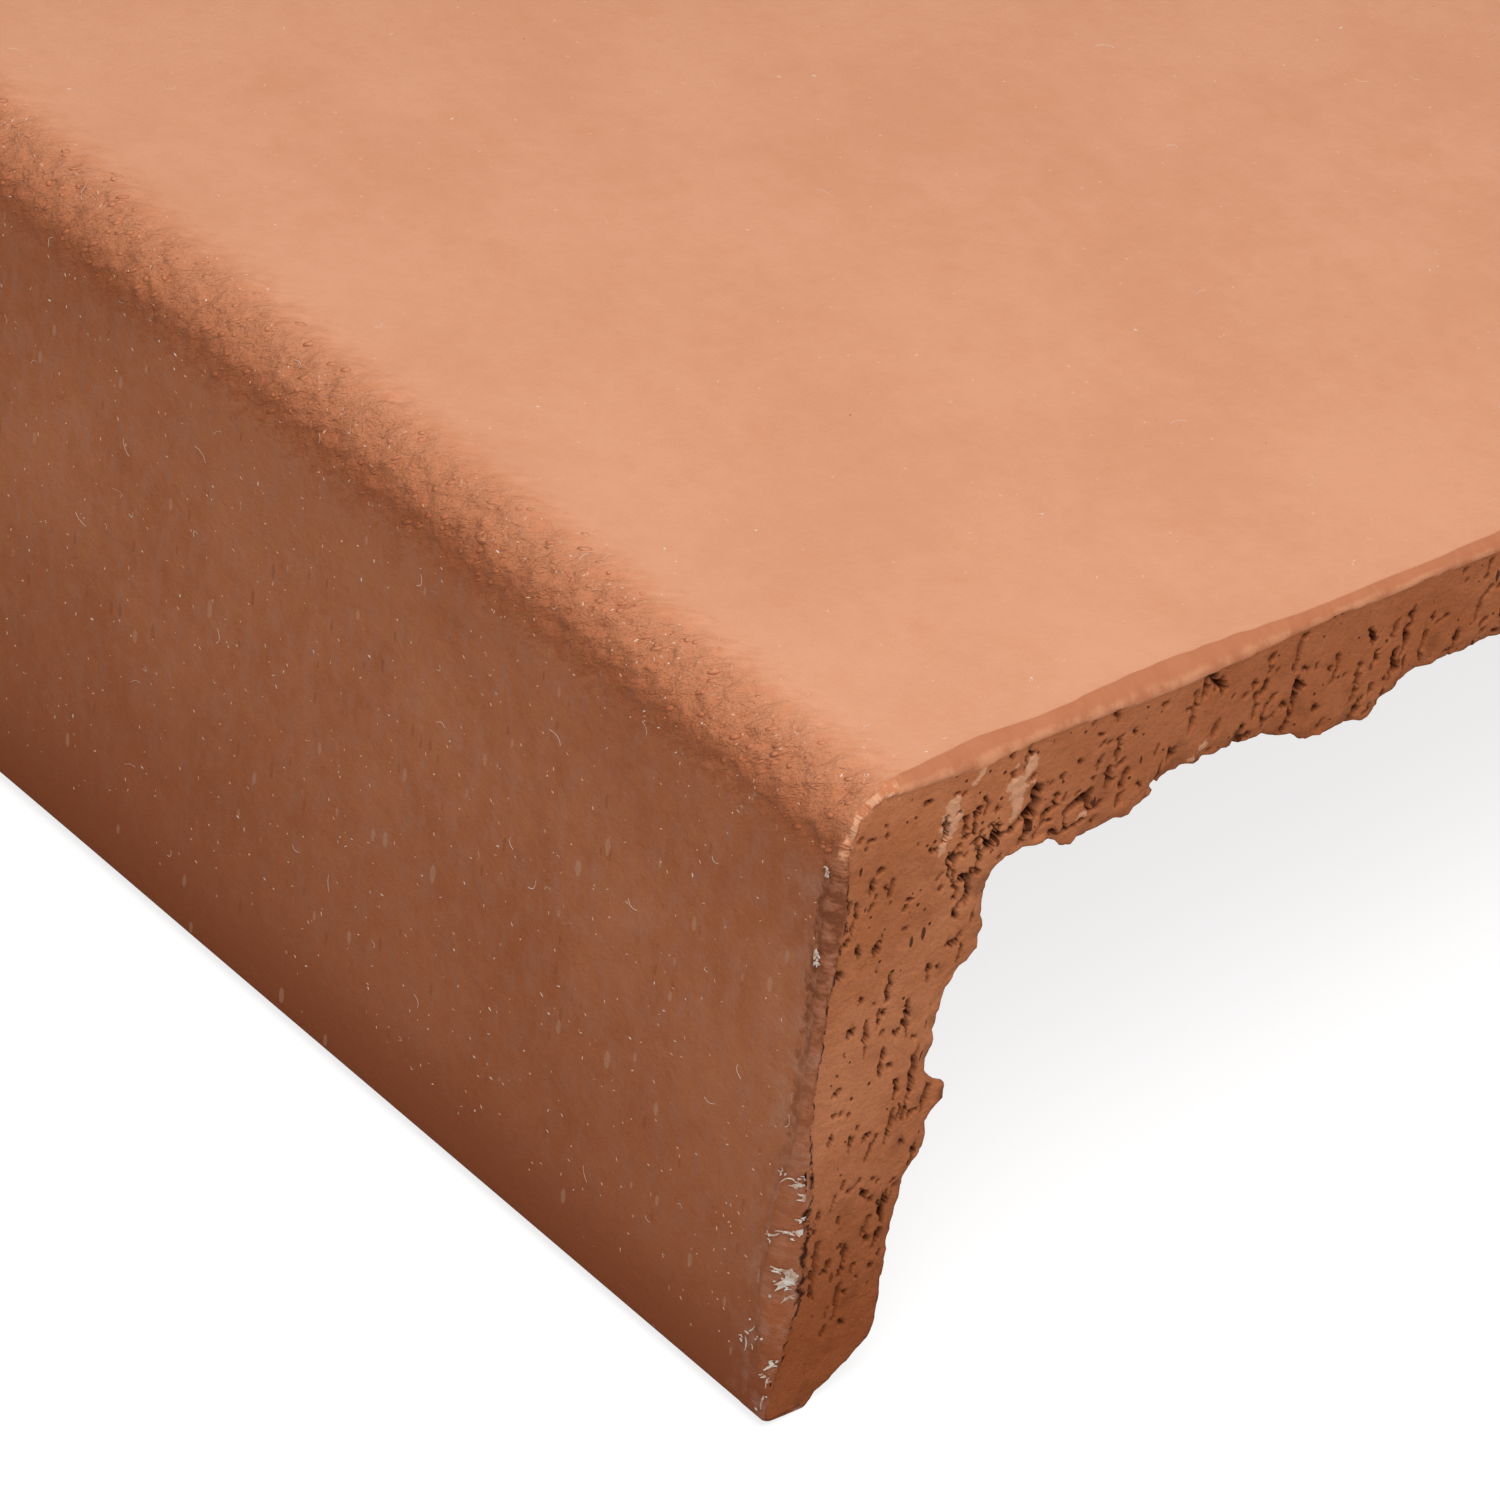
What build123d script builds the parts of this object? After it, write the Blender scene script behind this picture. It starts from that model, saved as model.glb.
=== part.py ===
from build123d import *
from math import atan2, degrees, tan
import os

# The tile as laid: along the nose, from the front face to the back edge, and down the leg.
NOSE_LENGTH = 300.0
TREAD_DEPTH = 330.0
LEG_HEIGHT = 50.0

# Tread between its ribs, the round of its nose and the small round of the arrises that show.
WEB_THICKNESS = 8.6
NOSE_RADIUS = 4.5
ARRIS_RADIUS = 1.0

# Round of the two edges that the loose tile lies on, under the foot and under the back.
BEARING_RADIUS = 1.0

# Bedding ribs under the tread, each a crest between two flanks, and the land along the back edge.
RIB_HEIGHT = 2.2
RIB_CREST = 6.0
RIB_FLANK = 3.0
RIB_PITCH = 21.2
RIB_SOFTENING = 1.5
LAST_GROOVE = 3.0
BACK_LAND = 8.0

# The inner corner: a pad that thickens the tread, and a haunch that thickens the leg.
PAD_LENGTH = 4.7
PAD_THICKNESS = 10.0
HAUNCH_THICKNESS = 13.6
HAUNCH_DROP = 16.4
HAUNCH_FLANK = 2.7
HAUNCH_SOFTENING = 1.5

# The leg thins from its root to its foot and carries one key for the mortar.
LEG_ROOT_THICKNESS = 11.1
FOOT_THICKNESS = 9.0
KEY_DROP = 29.4
KEY_HEIGHT = 1.2
KEY_CREST = 5.2
KEY_FLANK = 1.6
KEY_SOFTENING = 0.8

# The foot has a narrow land at the front, then a bevel that rises to the back of the leg.
FOOT_LAND = 3.4
FOOT_RISE = 3.9
FOOT_SOFTENING = 1.5

EDGE_THICKNESS = WEB_THICKNESS + RIB_HEIGHT
ROOT_DROP = HAUNCH_DROP + HAUNCH_FLANK
FOOT_DROP = LEG_HEIGHT - FOOT_RISE


def flank_run(groove):
    """How far a rib's flank runs from its crest to a groove where the tread is that thick."""
    return RIB_FLANK * (EDGE_THICKNESS - groove) / RIB_HEIGHT


def rib_middles():
    """How far back each bedding rib lies, as many as fit between the pad and the back land."""
    half_crest = RIB_CREST / 2
    first = HAUNCH_THICKNESS + PAD_LENGTH + flank_run(PAD_THICKNESS) + half_crest
    last = TREAD_DEPTH - BACK_LAND - RIB_FLANK - LAST_GROOVE - RIB_FLANK - half_crest
    count = int((last - first) / RIB_PITCH) + 1
    return [first + number * RIB_PITCH for number in range(count)]


def rib_corners(middle, front_groove):
    """One bedding rib, from its back flank to its front one, which rises to the groove before it."""
    back = middle + RIB_CREST / 2
    front = middle - RIB_CREST / 2
    return [
        ((back + RIB_FLANK, -WEB_THICKNESS), RIB_SOFTENING),
        ((back, -EDGE_THICKNESS), RIB_SOFTENING),
        ((front, -EDGE_THICKNESS), RIB_SOFTENING),
        ((front - flank_run(front_groove), -front_groove), RIB_SOFTENING),
    ]


def back_edge_corners():
    """The back edge and its full-thickness land, down to the last groove."""
    land_front = TREAD_DEPTH - BACK_LAND
    return [
        ((TREAD_DEPTH, 0), 0),
        ((TREAD_DEPTH, -EDGE_THICKNESS), BEARING_RADIUS),
        ((land_front, -EDGE_THICKNESS), RIB_SOFTENING),
        ((land_front - RIB_FLANK, -WEB_THICKNESS), RIB_SOFTENING),
    ]


def haunch_corners():
    """The thick root of the leg, from the pad down to the tapered part."""
    return [
        ((HAUNCH_THICKNESS, -PAD_THICKNESS), HAUNCH_SOFTENING),
        ((HAUNCH_THICKNESS, -HAUNCH_DROP), HAUNCH_SOFTENING),
        ((LEG_ROOT_THICKNESS, -ROOT_DROP), HAUNCH_SOFTENING),
    ]


def leg_back(drop):
    """How thick the tapered part of the leg is at a depth below the tread's top."""
    share = (drop - ROOT_DROP) / (FOOT_DROP - ROOT_DROP)
    return LEG_ROOT_THICKNESS + (FOOT_THICKNESS - LEG_ROOT_THICKNESS) * share


def key_corners():
    """The key on the back of the leg, from the top down."""
    half_crest = KEY_CREST / 2
    half_foot = half_crest + KEY_FLANK
    outline = [(-half_foot, 0), (-half_crest, KEY_HEIGHT), (half_crest, KEY_HEIGHT), (half_foot, 0)]
    corners = []
    for below, height in outline:
        drop = KEY_DROP + below
        corners.append(((leg_back(drop) + height, -drop), KEY_SOFTENING))
    return corners


def foot_corners():
    """The bevelled foot, from the back of the leg to the front face."""
    return [
        ((FOOT_THICKNESS, -FOOT_DROP), FOOT_SOFTENING),
        ((FOOT_LAND, -LEG_HEIGHT), BEARING_RADIUS),
        ((0, -LEG_HEIGHT), 0),
    ]


def section():
    """The tile's cross-section as laid: y runs back from the front face, z down from the top."""
    corners = [((0, 0), NOSE_RADIUS)] + back_edge_corners()
    first, *others = rib_middles()
    for middle in reversed(others):
        corners += rib_corners(middle, WEB_THICKNESS)
    corners += rib_corners(first, PAD_THICKNESS)
    corners += haunch_corners() + key_corners() + foot_corners()
    points = [point for point, radius in corners]
    radii = [radius for point, radius in corners]
    outline = FilletPolyline(*points, radius=radii, close=True)
    return make_face(Plane.YZ * outline)


def round_arrises(tile):
    """The arrises that show: around the top and the front, at the cut ends, the back and the foot.

    At a cut end the round starts on the nose and runs on along the top and the front.
    """
    lengthwise = tile.edges().filter_by(Axis.X)
    back = lengthwise.sort_by_distance((0, TREAD_DEPTH, 0))[0]
    foot = lengthwise.sort_by_distance((0, 0, -LEG_HEIGHT))[0]
    arcs = tile.edges().filter_by(GeomType.CIRCLE)
    ends = [-NOSE_LENGTH / 2, NOSE_LENGTH / 2]
    noses = [arcs.sort_by_distance((end, 0, 0))[0] for end in ends]
    return fillet(noses + [back, foot], ARRIS_RADIUS)


def resting_tilt():
    """The slope of the tread when the loose tile lies on its foot and its back edge."""
    bevel = atan2(FOOT_RISE, FOOT_THICKNESS - FOOT_LAND)
    foot_centre = FOOT_LAND - BEARING_RADIUS * tan(bevel / 2)
    back_centre = TREAD_DEPTH - BEARING_RADIUS
    return atan2(LEG_HEIGHT - EDGE_THICKNESS, back_centre - foot_centre)


def stair_tread_tile():
    """The whole tile, lying loose on level ground with its nose towards -Y."""
    tile = extrude(section(), amount=NOSE_LENGTH / 2, both=True)
    tile = Rot(X=-degrees(resting_tilt())) * round_arrises(tile)
    box = tile.bounding_box()
    return Pos(-box.center().X, -box.center().Y, -box.min.Z) * tile


os.makedirs("parts", exist_ok=True)
export_step(stair_tread_tile(), "parts/stair_tread_tile.step")
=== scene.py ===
import itertools
import math

import bpy
import numpy as np
from mathutils import Matrix, Vector


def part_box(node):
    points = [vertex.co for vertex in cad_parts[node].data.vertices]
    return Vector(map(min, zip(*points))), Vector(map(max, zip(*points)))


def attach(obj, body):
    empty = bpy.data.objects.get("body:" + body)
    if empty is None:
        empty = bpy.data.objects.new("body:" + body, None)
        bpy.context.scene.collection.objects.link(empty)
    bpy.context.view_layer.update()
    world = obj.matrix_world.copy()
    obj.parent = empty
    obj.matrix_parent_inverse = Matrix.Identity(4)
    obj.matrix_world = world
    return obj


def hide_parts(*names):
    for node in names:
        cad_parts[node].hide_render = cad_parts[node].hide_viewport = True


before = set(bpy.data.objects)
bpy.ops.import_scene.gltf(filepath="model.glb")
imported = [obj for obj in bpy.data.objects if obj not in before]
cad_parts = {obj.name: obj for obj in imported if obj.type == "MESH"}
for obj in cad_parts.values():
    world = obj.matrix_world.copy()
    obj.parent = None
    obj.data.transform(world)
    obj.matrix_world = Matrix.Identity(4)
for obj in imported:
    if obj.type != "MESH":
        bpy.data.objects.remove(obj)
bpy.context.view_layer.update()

MM = 0.001
SEED = 11

# The tile as laid, in millimetres: u runs back from the front face and w up from the top face.
NOSE_LENGTH = 300.0
TREAD_DEPTH = 330.0
LEG_HEIGHT = 50.0
WEB_THICKNESS = 8.6
NOSE_RADIUS = 4.5
ARRIS_RADIUS = 1.0
BEARING_RADIUS = 1.0
RIB_HEIGHT = 2.2
RIB_CREST = 6.0
RIB_FLANK = 3.0
RIB_PITCH = 21.2
RIB_SOFTENING = 1.5
LAST_GROOVE = 3.0
BACK_LAND = 8.0
PAD_LENGTH = 4.7
PAD_THICKNESS = 10.0
HAUNCH_THICKNESS = 13.6
HAUNCH_DROP = 16.4
HAUNCH_FLANK = 2.7
HAUNCH_SOFTENING = 1.5
LEG_ROOT_THICKNESS = 11.1
FOOT_THICKNESS = 9.0
KEY_DROP = 29.4
KEY_HEIGHT = 1.2
KEY_CREST = 5.2
KEY_FLANK = 1.6
KEY_SOFTENING = 0.8
FOOT_LAND = 3.4
FOOT_RISE = 3.9
FOOT_SOFTENING = 1.5
EDGE_THICKNESS = WEB_THICKNESS + RIB_HEIGHT
ROOT_DROP = HAUNCH_DROP + HAUNCH_FLANK
FOOT_DROP = LEG_HEIGHT - FOOT_RISE

# How far the fired skin lies inside the plain solid, and the fine steps that the surface is laid out in.
RECESS = 0.05
FINE = 0.1
BACK_STEPS = 8
TREAD_STEPS = 3136
CORNER_STEPS = 248
LEG_STEPS = 328
FOOT_STEPS = 80
CHAIN = BACK_STEPS + TREAD_STEPS + CORNER_STEPS + LEG_STEPS + FOOT_STEPS
THROUGH = 96
ALONG = 3000
COLLAR = 16
LEG_ROW_END = 44.4

# The part of the cut end that is worked finest, measured back from the front face.
FINE_REACH = 64.0


# Section

def unit(vector):
    return vector / np.linalg.norm(vector)


def rounded(corners, step=0.04):
    """Points along a line of corners, each (u, w, radius), with every inner corner rounded."""
    points = [np.array(corners[0][:2], float)]
    for before, corner, after in zip(corners, corners[1:], corners[2:]):
        here = np.array(corner[:2], float)
        to_before = unit(np.array(before[:2], float) - here)
        to_after = unit(np.array(after[:2], float) - here)
        half = math.acos(np.clip(to_before @ to_after, -1, 1)) / 2
        centre = here + unit(to_before + to_after) * corner[2] / math.sin(half)
        start = here + to_before * corner[2] / math.tan(half) - centre
        end = here + to_after * corner[2] / math.tan(half) - centre
        first = math.atan2(start[1], start[0])
        turn = (math.atan2(end[1], end[0]) - first + math.pi) % (2 * math.pi) - math.pi
        count = max(4, math.ceil(abs(turn) * corner[2] / step))
        for share in np.linspace(0, 1, count + 1):
            angle = first + turn * share
            points.append(centre + corner[2] * np.array([math.cos(angle), math.sin(angle)]))
    points.append(np.array(corners[-1][:2], float))
    return np.array(points)


def flank_run(groove):
    return RIB_FLANK * (EDGE_THICKNESS - groove) / RIB_HEIGHT


def rib_middles():
    first = HAUNCH_THICKNESS + PAD_LENGTH + flank_run(PAD_THICKNESS) + RIB_CREST / 2
    last = TREAD_DEPTH - BACK_LAND - RIB_FLANK - LAST_GROOVE - RIB_FLANK - RIB_CREST / 2
    return [first + n * RIB_PITCH for n in range(int((last - first) / RIB_PITCH) + 1)]


def rib_corners(middle, front_groove):
    back, front = middle + RIB_CREST / 2, middle - RIB_CREST / 2
    return [
        (back + RIB_FLANK, -WEB_THICKNESS, RIB_SOFTENING),
        (back, -EDGE_THICKNESS, RIB_SOFTENING),
        (front, -EDGE_THICKNESS, RIB_SOFTENING),
        (front - flank_run(front_groove), -front_groove, RIB_SOFTENING),
    ]


def leg_back(drop):
    share = (drop - ROOT_DROP) / (FOOT_DROP - ROOT_DROP)
    return LEG_ROOT_THICKNESS + (FOOT_THICKNESS - LEG_ROOT_THICKNESS) * share


def bedding_corners():
    """The hidden side of the section, from the back edge under the tread and down the leg to the foot."""
    land = TREAD_DEPTH - BACK_LAND
    corners = [
        (TREAD_DEPTH, -EDGE_THICKNESS / 2, 0),
        (TREAD_DEPTH, -EDGE_THICKNESS, BEARING_RADIUS),
        (land, -EDGE_THICKNESS, RIB_SOFTENING),
        (land - RIB_FLANK, -WEB_THICKNESS, RIB_SOFTENING),
    ]
    first, *others = rib_middles()
    for middle in reversed(others):
        corners += rib_corners(middle, WEB_THICKNESS)
    corners += rib_corners(first, PAD_THICKNESS)
    corners += [
        (HAUNCH_THICKNESS, -PAD_THICKNESS, HAUNCH_SOFTENING),
        (HAUNCH_THICKNESS, -HAUNCH_DROP, HAUNCH_SOFTENING),
        (LEG_ROOT_THICKNESS, -ROOT_DROP, HAUNCH_SOFTENING),
    ]
    half_crest = KEY_CREST / 2
    half_foot = half_crest + KEY_FLANK
    key = ((-half_foot, 0), (-half_crest, KEY_HEIGHT), (half_crest, KEY_HEIGHT), (half_foot, 0))
    for below, height in key:
        corners.append((leg_back(KEY_DROP + below) + height, -KEY_DROP - below, KEY_SOFTENING))
    return corners + [
        (FOOT_THICKNESS, -FOOT_DROP, FOOT_SOFTENING),
        (FOOT_LAND, -LEG_HEIGHT, BEARING_RADIUS),
        (ARRIS_RADIUS, -LEG_HEIGHT, 0),
    ]


def evenly(points, count):
    """That many steps of equal length along a line of points."""
    run = np.concatenate([[0], np.cumsum(np.linalg.norm(np.diff(points, axis=0), axis=1))])
    at = np.linspace(0, run[-1], count + 1)
    return np.column_stack([np.interp(at, run, points[:, n]) for n in range(2)])


def quarter(centre, radius, start, end, count):
    """An arc between two angles in degrees."""
    angle = np.radians(np.linspace(start, end, count + 1))
    return np.column_stack([centre[0] + radius * np.cos(angle), centre[1] + radius * np.sin(angle)])


def section_lines():
    """The shown side of the section, a line just inside it, and the hidden side, station by station."""
    bedding = rounded(bedding_corners())
    turn = (HAUNCH_THICKNESS + HAUNCH_SOFTENING, -PAD_THICKNESS - HAUNCH_SOFTENING)
    back_end = TREAD_DEPTH - BEARING_RADIUS
    on_tread = (bedding[:, 0] >= turn[0] - FINE) & (bedding[:, 0] <= back_end + FINE)
    under = bedding[(bedding[:, 1] >= turn[1]) & on_tread]
    under = under[np.argsort(under[:, 0], kind="stable")]
    leg = bedding[bedding[:, 1] <= turn[1] + FINE]
    leg = leg[leg[:, 0] <= HAUNCH_THICKNESS + FINE]
    u_rows = np.linspace(back_end, turn[0], TREAD_STEPS + 1)
    w_rows = np.linspace(turn[1], -LEG_ROW_END, LEG_STEPS + 1)
    leg_u = np.interp(-w_rows, -leg[:, 1], leg[:, 0])
    foot_hidden = np.vstack([[leg_u[-1], -LEG_ROW_END], leg[leg[:, 1] < -LEG_ROW_END]])[:-1]
    hidden = [
        quarter((back_end, -EDGE_THICKNESS + BEARING_RADIUS), BEARING_RADIUS, 0, -90, BACK_STEPS)[:-1],
        np.column_stack([u_rows, np.interp(u_rows, under[:, 0], under[:, 1])])[:-1],
        quarter(turn, HAUNCH_SOFTENING, 90, 180, CORNER_STEPS)[:-1],
        np.column_stack([leg_u, w_rows])[:-1],
        evenly(foot_hidden, FOOT_STEPS),
    ]
    nose = quarter((NOSE_RADIUS, -NOSE_RADIUS), NOSE_RADIUS, 90, 180, 200)
    foot = quarter((ARRIS_RADIUS, -LEG_HEIGHT + ARRIS_RADIUS), ARRIS_RADIUS, 180, 270, 40)
    shown = [
        quarter((TREAD_DEPTH - ARRIS_RADIUS, -ARRIS_RADIUS), ARRIS_RADIUS, 0, 90, BACK_STEPS)[:-1],
        np.column_stack([u_rows, np.zeros_like(u_rows)])[:-1],
        evenly(np.vstack([[turn[0], 0], nose, [0, turn[1]]]), CORNER_STEPS)[:-1],
        np.column_stack([np.zeros_like(w_rows), w_rows])[:-1],
        evenly(np.vstack([[0, -LEG_ROW_END], foot]), FOOT_STEPS),
    ]
    shown, hidden = np.vstack(shown), np.vstack(hidden)
    inward = outward_of(shown) * -1
    straight = hidden - shown
    straight /= np.linalg.norm(straight, axis=1)[:, None]
    corner = slice(BACK_STEPS + TREAD_STEPS, BACK_STEPS + TREAD_STEPS + CORNER_STEPS + 1)
    straight[corner] = inward[corner]
    return shown, shown + straight * COLLAR * FINE, hidden


def outward_of(line):
    """Unit normals on the shown side's left hand as it runs from the back to the foot."""
    along = np.gradient(line, axis=0)
    along /= np.linalg.norm(along, axis=1)[:, None] + 1e-12
    return np.column_stack([along[:, 1], -along[:, 0]])


SHOWN, COLLAR_LINE, HIDDEN = section_lines()
OUT_SHOWN = outward_of(SHOWN)
OUT_HIDDEN = -outward_of(HIDDEN)
SHOWN_RUN = np.concatenate([[0], np.cumsum(np.linalg.norm(np.diff(SHOWN, axis=0), axis=1))])
HIDDEN_RUN = np.concatenate([[0], np.cumsum(np.linalg.norm(np.diff(HIDDEN, axis=0), axis=1))])

# The middle of the nose's round, from which the distance along the section is measured.
NOSE_MIDDLE = NOSE_RADIUS * np.array([0.293, -0.293])
NOSE_STATION = int(np.argmin(np.linalg.norm(SHOWN - NOSE_MIDDLE, axis=1)))
FROM_NOSE = SHOWN_RUN[NOSE_STATION] - SHOWN_RUN


def at_station(line, k):
    """A line's value at stations that may fall between two."""
    low = np.clip(np.floor(k).astype(int), 0, CHAIN - 1)
    share = k - low
    if line.ndim == 2:
        share = share[..., None]
    return line[low] * (1 - share) + line[low + 1] * share


def in_section(k, t):
    """Place in the section: t runs from the shown side, through the collar, to the hidden side."""
    shown, collar, hidden = (at_station(line, k) for line in (SHOWN, COLLAR_LINE, HIDDEN))
    near = np.clip(t / COLLAR, 0, 1)[..., None]
    far = np.clip((t - COLLAR) / (THROUGH - COLLAR), 0, 1)[..., None]
    return np.where(far > 0, collar * (1 - far) + hidden * far, shown * (1 - near) + collar * near)


# Noise and small shapes

def smooth(value, start, end):
    share = np.clip((value - start) / (end - start), 0, 1)
    return share * share * (3 - 2 * share)


def noise(points, size, seed):
    """Smooth noise from -1 to 1, in lumps of about that size."""
    place = points / size + seed * 13.7
    cell = np.floor(place).astype(np.int64)
    part = place - cell
    part = part * part * (3 - 2 * part)
    total = np.zeros(len(points))
    for corner in itertools.product((0, 1), repeat=3):
        at = cell + np.array(corner)
        mixed = (at[:, 0] * 73856093) ^ (at[:, 1] * 19349663) ^ (at[:, 2] * 83492791) ^ (seed * 2654435761)
        mixed = (mixed ^ (mixed >> 15)) * 2246822519 & 0xFFFFFFFF
        mixed = (mixed ^ (mixed >> 13)) * 3266489917 & 0xFFFFFFFF
        value = ((mixed ^ (mixed >> 16)) & 0xFFFF) / 32767.5 - 1
        weight = np.prod(np.where(np.array(corner) == 1, part, 1 - part), axis=1)
        total += value * weight
    return total


def lumps(points, size, seed, octaves=3):
    """Noise with finer noise on it, each octave half the size and half the height."""
    return sum(noise(points, size / 2**n, seed + n) / 2**n for n in range(octaves)) / 1.6


# Cut ends

# Worn width of the arris where the skin turns over to a cut end: (distance from the nose, width). Its
# bend says how round it is: at 2 it would be part of a circle.
ARRIS_WIDTHS = (
    (-52, 0.3), (-47, 0.35), (-44, 0.9), (-39, 1.75), (-32, 1.6), (-27, 0.8), (-22, 0.5), (-16, 0.6),
    (-12, 0.8), (-8, 1.0), (-5, 0.7), (-2, 0.4), (1, 0.4), (4, 0.95), (8, 1.3), (16, 1.15), (24, 1.35),
    (32, 1.3), (38, 0.9), (50, 0.75), (58, 1.15), (70, 0.9), (330, 0.9),
)
ARRIS_BEND = 1.6

# How far the clay of a cut end lies in from the skin's border, at least.
CUT_STEP = 0.07

# The larger cracks of the right cut end: (u, w, length, width, depth, lean in degrees towards the back).
CRACKS = (
    (38.6, -3.0, 3.0, 0.40, 1.0, 6), (38.9, -6.0, 3.2, 0.45, 1.3, -4), (29.6, -4.2, 4.0, 0.30, 1.2, 3),
    (31.6, -2.6, 0.9, 0.70, 0.9, 50), (31.9, -2.9, 1.4, 0.45, 0.8, -20), (36.3, -7.0, 2.4, 0.30, 1.0, 2),
    (44.6, -7.2, 3.4, 0.35, 1.1, 3), (47.4, -4.0, 1.6, 0.45, 0.9, 8), (35.9, -4.6, 0.9, 0.45, 0.7, 35),
    (27.4, -8.0, 1.9, 0.25, 0.8, 5), (24.3, -7.2, 2.0, 0.50, 1.0, 12), (24.0, -8.8, 1.2, 0.40, 0.8, 12),
    (21.8, -5.2, 1.5, 0.35, 0.8, 10), (20.3, -7.7, 2.8, 0.75, 1.4, 68), (17.9, -7.4, 1.8, 0.55, 1.0, 75),
    (16.5, -6.0, 2.8, 0.75, 1.3, -3), (15.3, -7.1, 2.6, 0.70, 1.3, 55), (13.3, -8.1, 2.2, 0.60, 1.2, 68),
    (12.2, -5.0, 1.2, 0.35, 0.7, 2), (19.8, -9.6, 2.4, 0.40, 0.9, 75), (42.5, -4.5, 1.2, 0.30, 0.7, 5),
    (50.3, -6.6, 2.6, 0.35, 1.0, 8), (55.2, -5.2, 1.9, 0.35, 0.9, 4), (58.8, -3.4, 1.4, 0.30, 0.8, 6),
    (2.0, -9.7, 2.6, 0.28, 0.8, 3), (1.5, -11.5, 0.9, 0.35, 0.7, 50), (4.3, -12.9, 1.1, 0.55, 0.9, 6),
    (3.3, -9.0, 1.4, 0.18, 0.4, 22), (9.7, -8.0, 1.0, 0.35, 0.7, 25), (9.0, -9.1, 0.8, 0.20, 0.5, 50),
    (3.1, -19.2, 0.8, 0.50, 0.8, 6), (2.6, -23.7, 0.9, 0.55, 0.9, 20), (5.4, -19.0, 1.6, 0.25, 0.8, 2),
    (9.2, -24.8, 4.2, 0.60, 1.4, 3), (7.8, -28.2, 2.6, 0.45, 1.1, 2), (4.6, -28.6, 1.2, 0.30, 0.7, 8),
    (5.4, -32.4, 1.6, 0.30, 0.8, 65), (6.5, -33.4, 1.2, 0.35, 0.8, -30), (3.0, -38.2, 5.4, 0.35, 1.2, 1),
    (5.5, -38.0, 2.2, 0.40, 1.0, 4), (5.4, -41.8, 3.2, 0.35, 1.1, 2), (7.1, -36.2, 1.6, 0.35, 0.9, 12),
)

# Pale crumbly clay on the right cut end: (u, w, length, width, lean in degrees towards the back).
PALE_PATCHES = (
    (9.2, -5.0, 5.0, 1.9, 8), (14.9, -4.6, 5.6, 2.2, 12), (0.5, -2.3, 3.2, 1.0, 35),
    (2.3, -0.6, 3.0, 0.9, 62), (11.0, -2.2, 1.6, 0.8, 40), (20.9, -9.0, 1.8, 0.9, 40),
    (31.0, -7.4, 1.3, 0.9, 30), (30.2, -8.3, 0.9, 0.7, 0),
)

# Crumbs that stand out from the hidden side at the right cut end: (u, w, reach, height).
STANDING_CRUMBS = (
    (11.6, -27.4, 0.9, 1.0), (10.6, -34.6, 0.8, 0.5), (20.4, -10.8, 1.0, 0.5), (37.6, -9.2, 0.9, 0.6),
)

# Chance pores of a cut end, pits and then slits: (how many for each square millimetre, lengths, widths,
# spread of their lean in degrees). None lies further down the leg than where they end.
PORE_KINDS = (
    (0.26, (0.25, 0.85), (0.2, 0.55), 30),
    (0.075, (0.9, 2.6), (0.22, 0.5), 9),
)
PORES_END = 44.5
CUT_AREA = TREAD_DEPTH * WEB_THICKNESS + LEG_HEIGHT * LEG_ROOT_THICKNESS


def from_skin(place):
    """Depth below the shown outline: top, nose, front face, back edge and foot."""
    top, front = -place[..., 1], place[..., 0]
    back, foot = TREAD_DEPTH - place[..., 0], LEG_HEIGHT + place[..., 1]

    def corner(a, b, radius):
        turn = (a < radius) & (b < radius)
        return np.where(turn, radius - np.hypot(radius - a, radius - b), np.minimum(a, b))

    inside = corner(top, front, NOSE_RADIUS)
    return np.minimum(inside, np.minimum(corner(top, back, ARRIS_RADIUS), corner(front, foot, ARRIS_RADIUS)))


def arris_width(k, side):
    """Worn width of the arris at a station, a little wavy."""
    places, widths = zip(*ARRIS_WIDTHS)
    run = at_station(FROM_NOSE, k)
    wavy = np.column_stack([run, np.zeros_like(run), np.full_like(run, side * 50.0)])
    return np.interp(run, places, widths) * (1 + 0.15 * noise(wavy, 4.0, 3) + 0.08 * noise(wavy, 1.3, 4))


def worn(depth, width):
    """How far the worn arris lies in from one face, at a depth in from the other."""
    share = np.clip(1 - depth / width, 0, 1)
    return width * (1 - (1 - share**ARRIS_BEND) ** (1 / ARRIS_BEND))


def pore_list(side, rng):
    """Pits and slits thrown at random, more of them towards the hidden side."""
    pores = list(CRACKS) if side > 0 else []
    for per_area, lengths, widths, lean in PORE_KINDS:
        for _ in range(int(per_area * CUT_AREA)):
            k = rng.uniform(0, CHAIN)
            t = THROUGH * (0.10 + 0.86 * rng.random() ** 0.75)
            u, w = in_section(np.array([k]), np.array([t]))[0]
            length, width = rng.uniform(*lengths), rng.uniform(*widths)
            if (side < 0 or u > FINE_REACH + 4) and length < 0.9 or w < -PORES_END:
                continue
            depth = width * rng.uniform(1.2, 2.6)
            pores.append((u, w, length, width, depth, rng.normal(3, lean)))
    return pores


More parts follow.
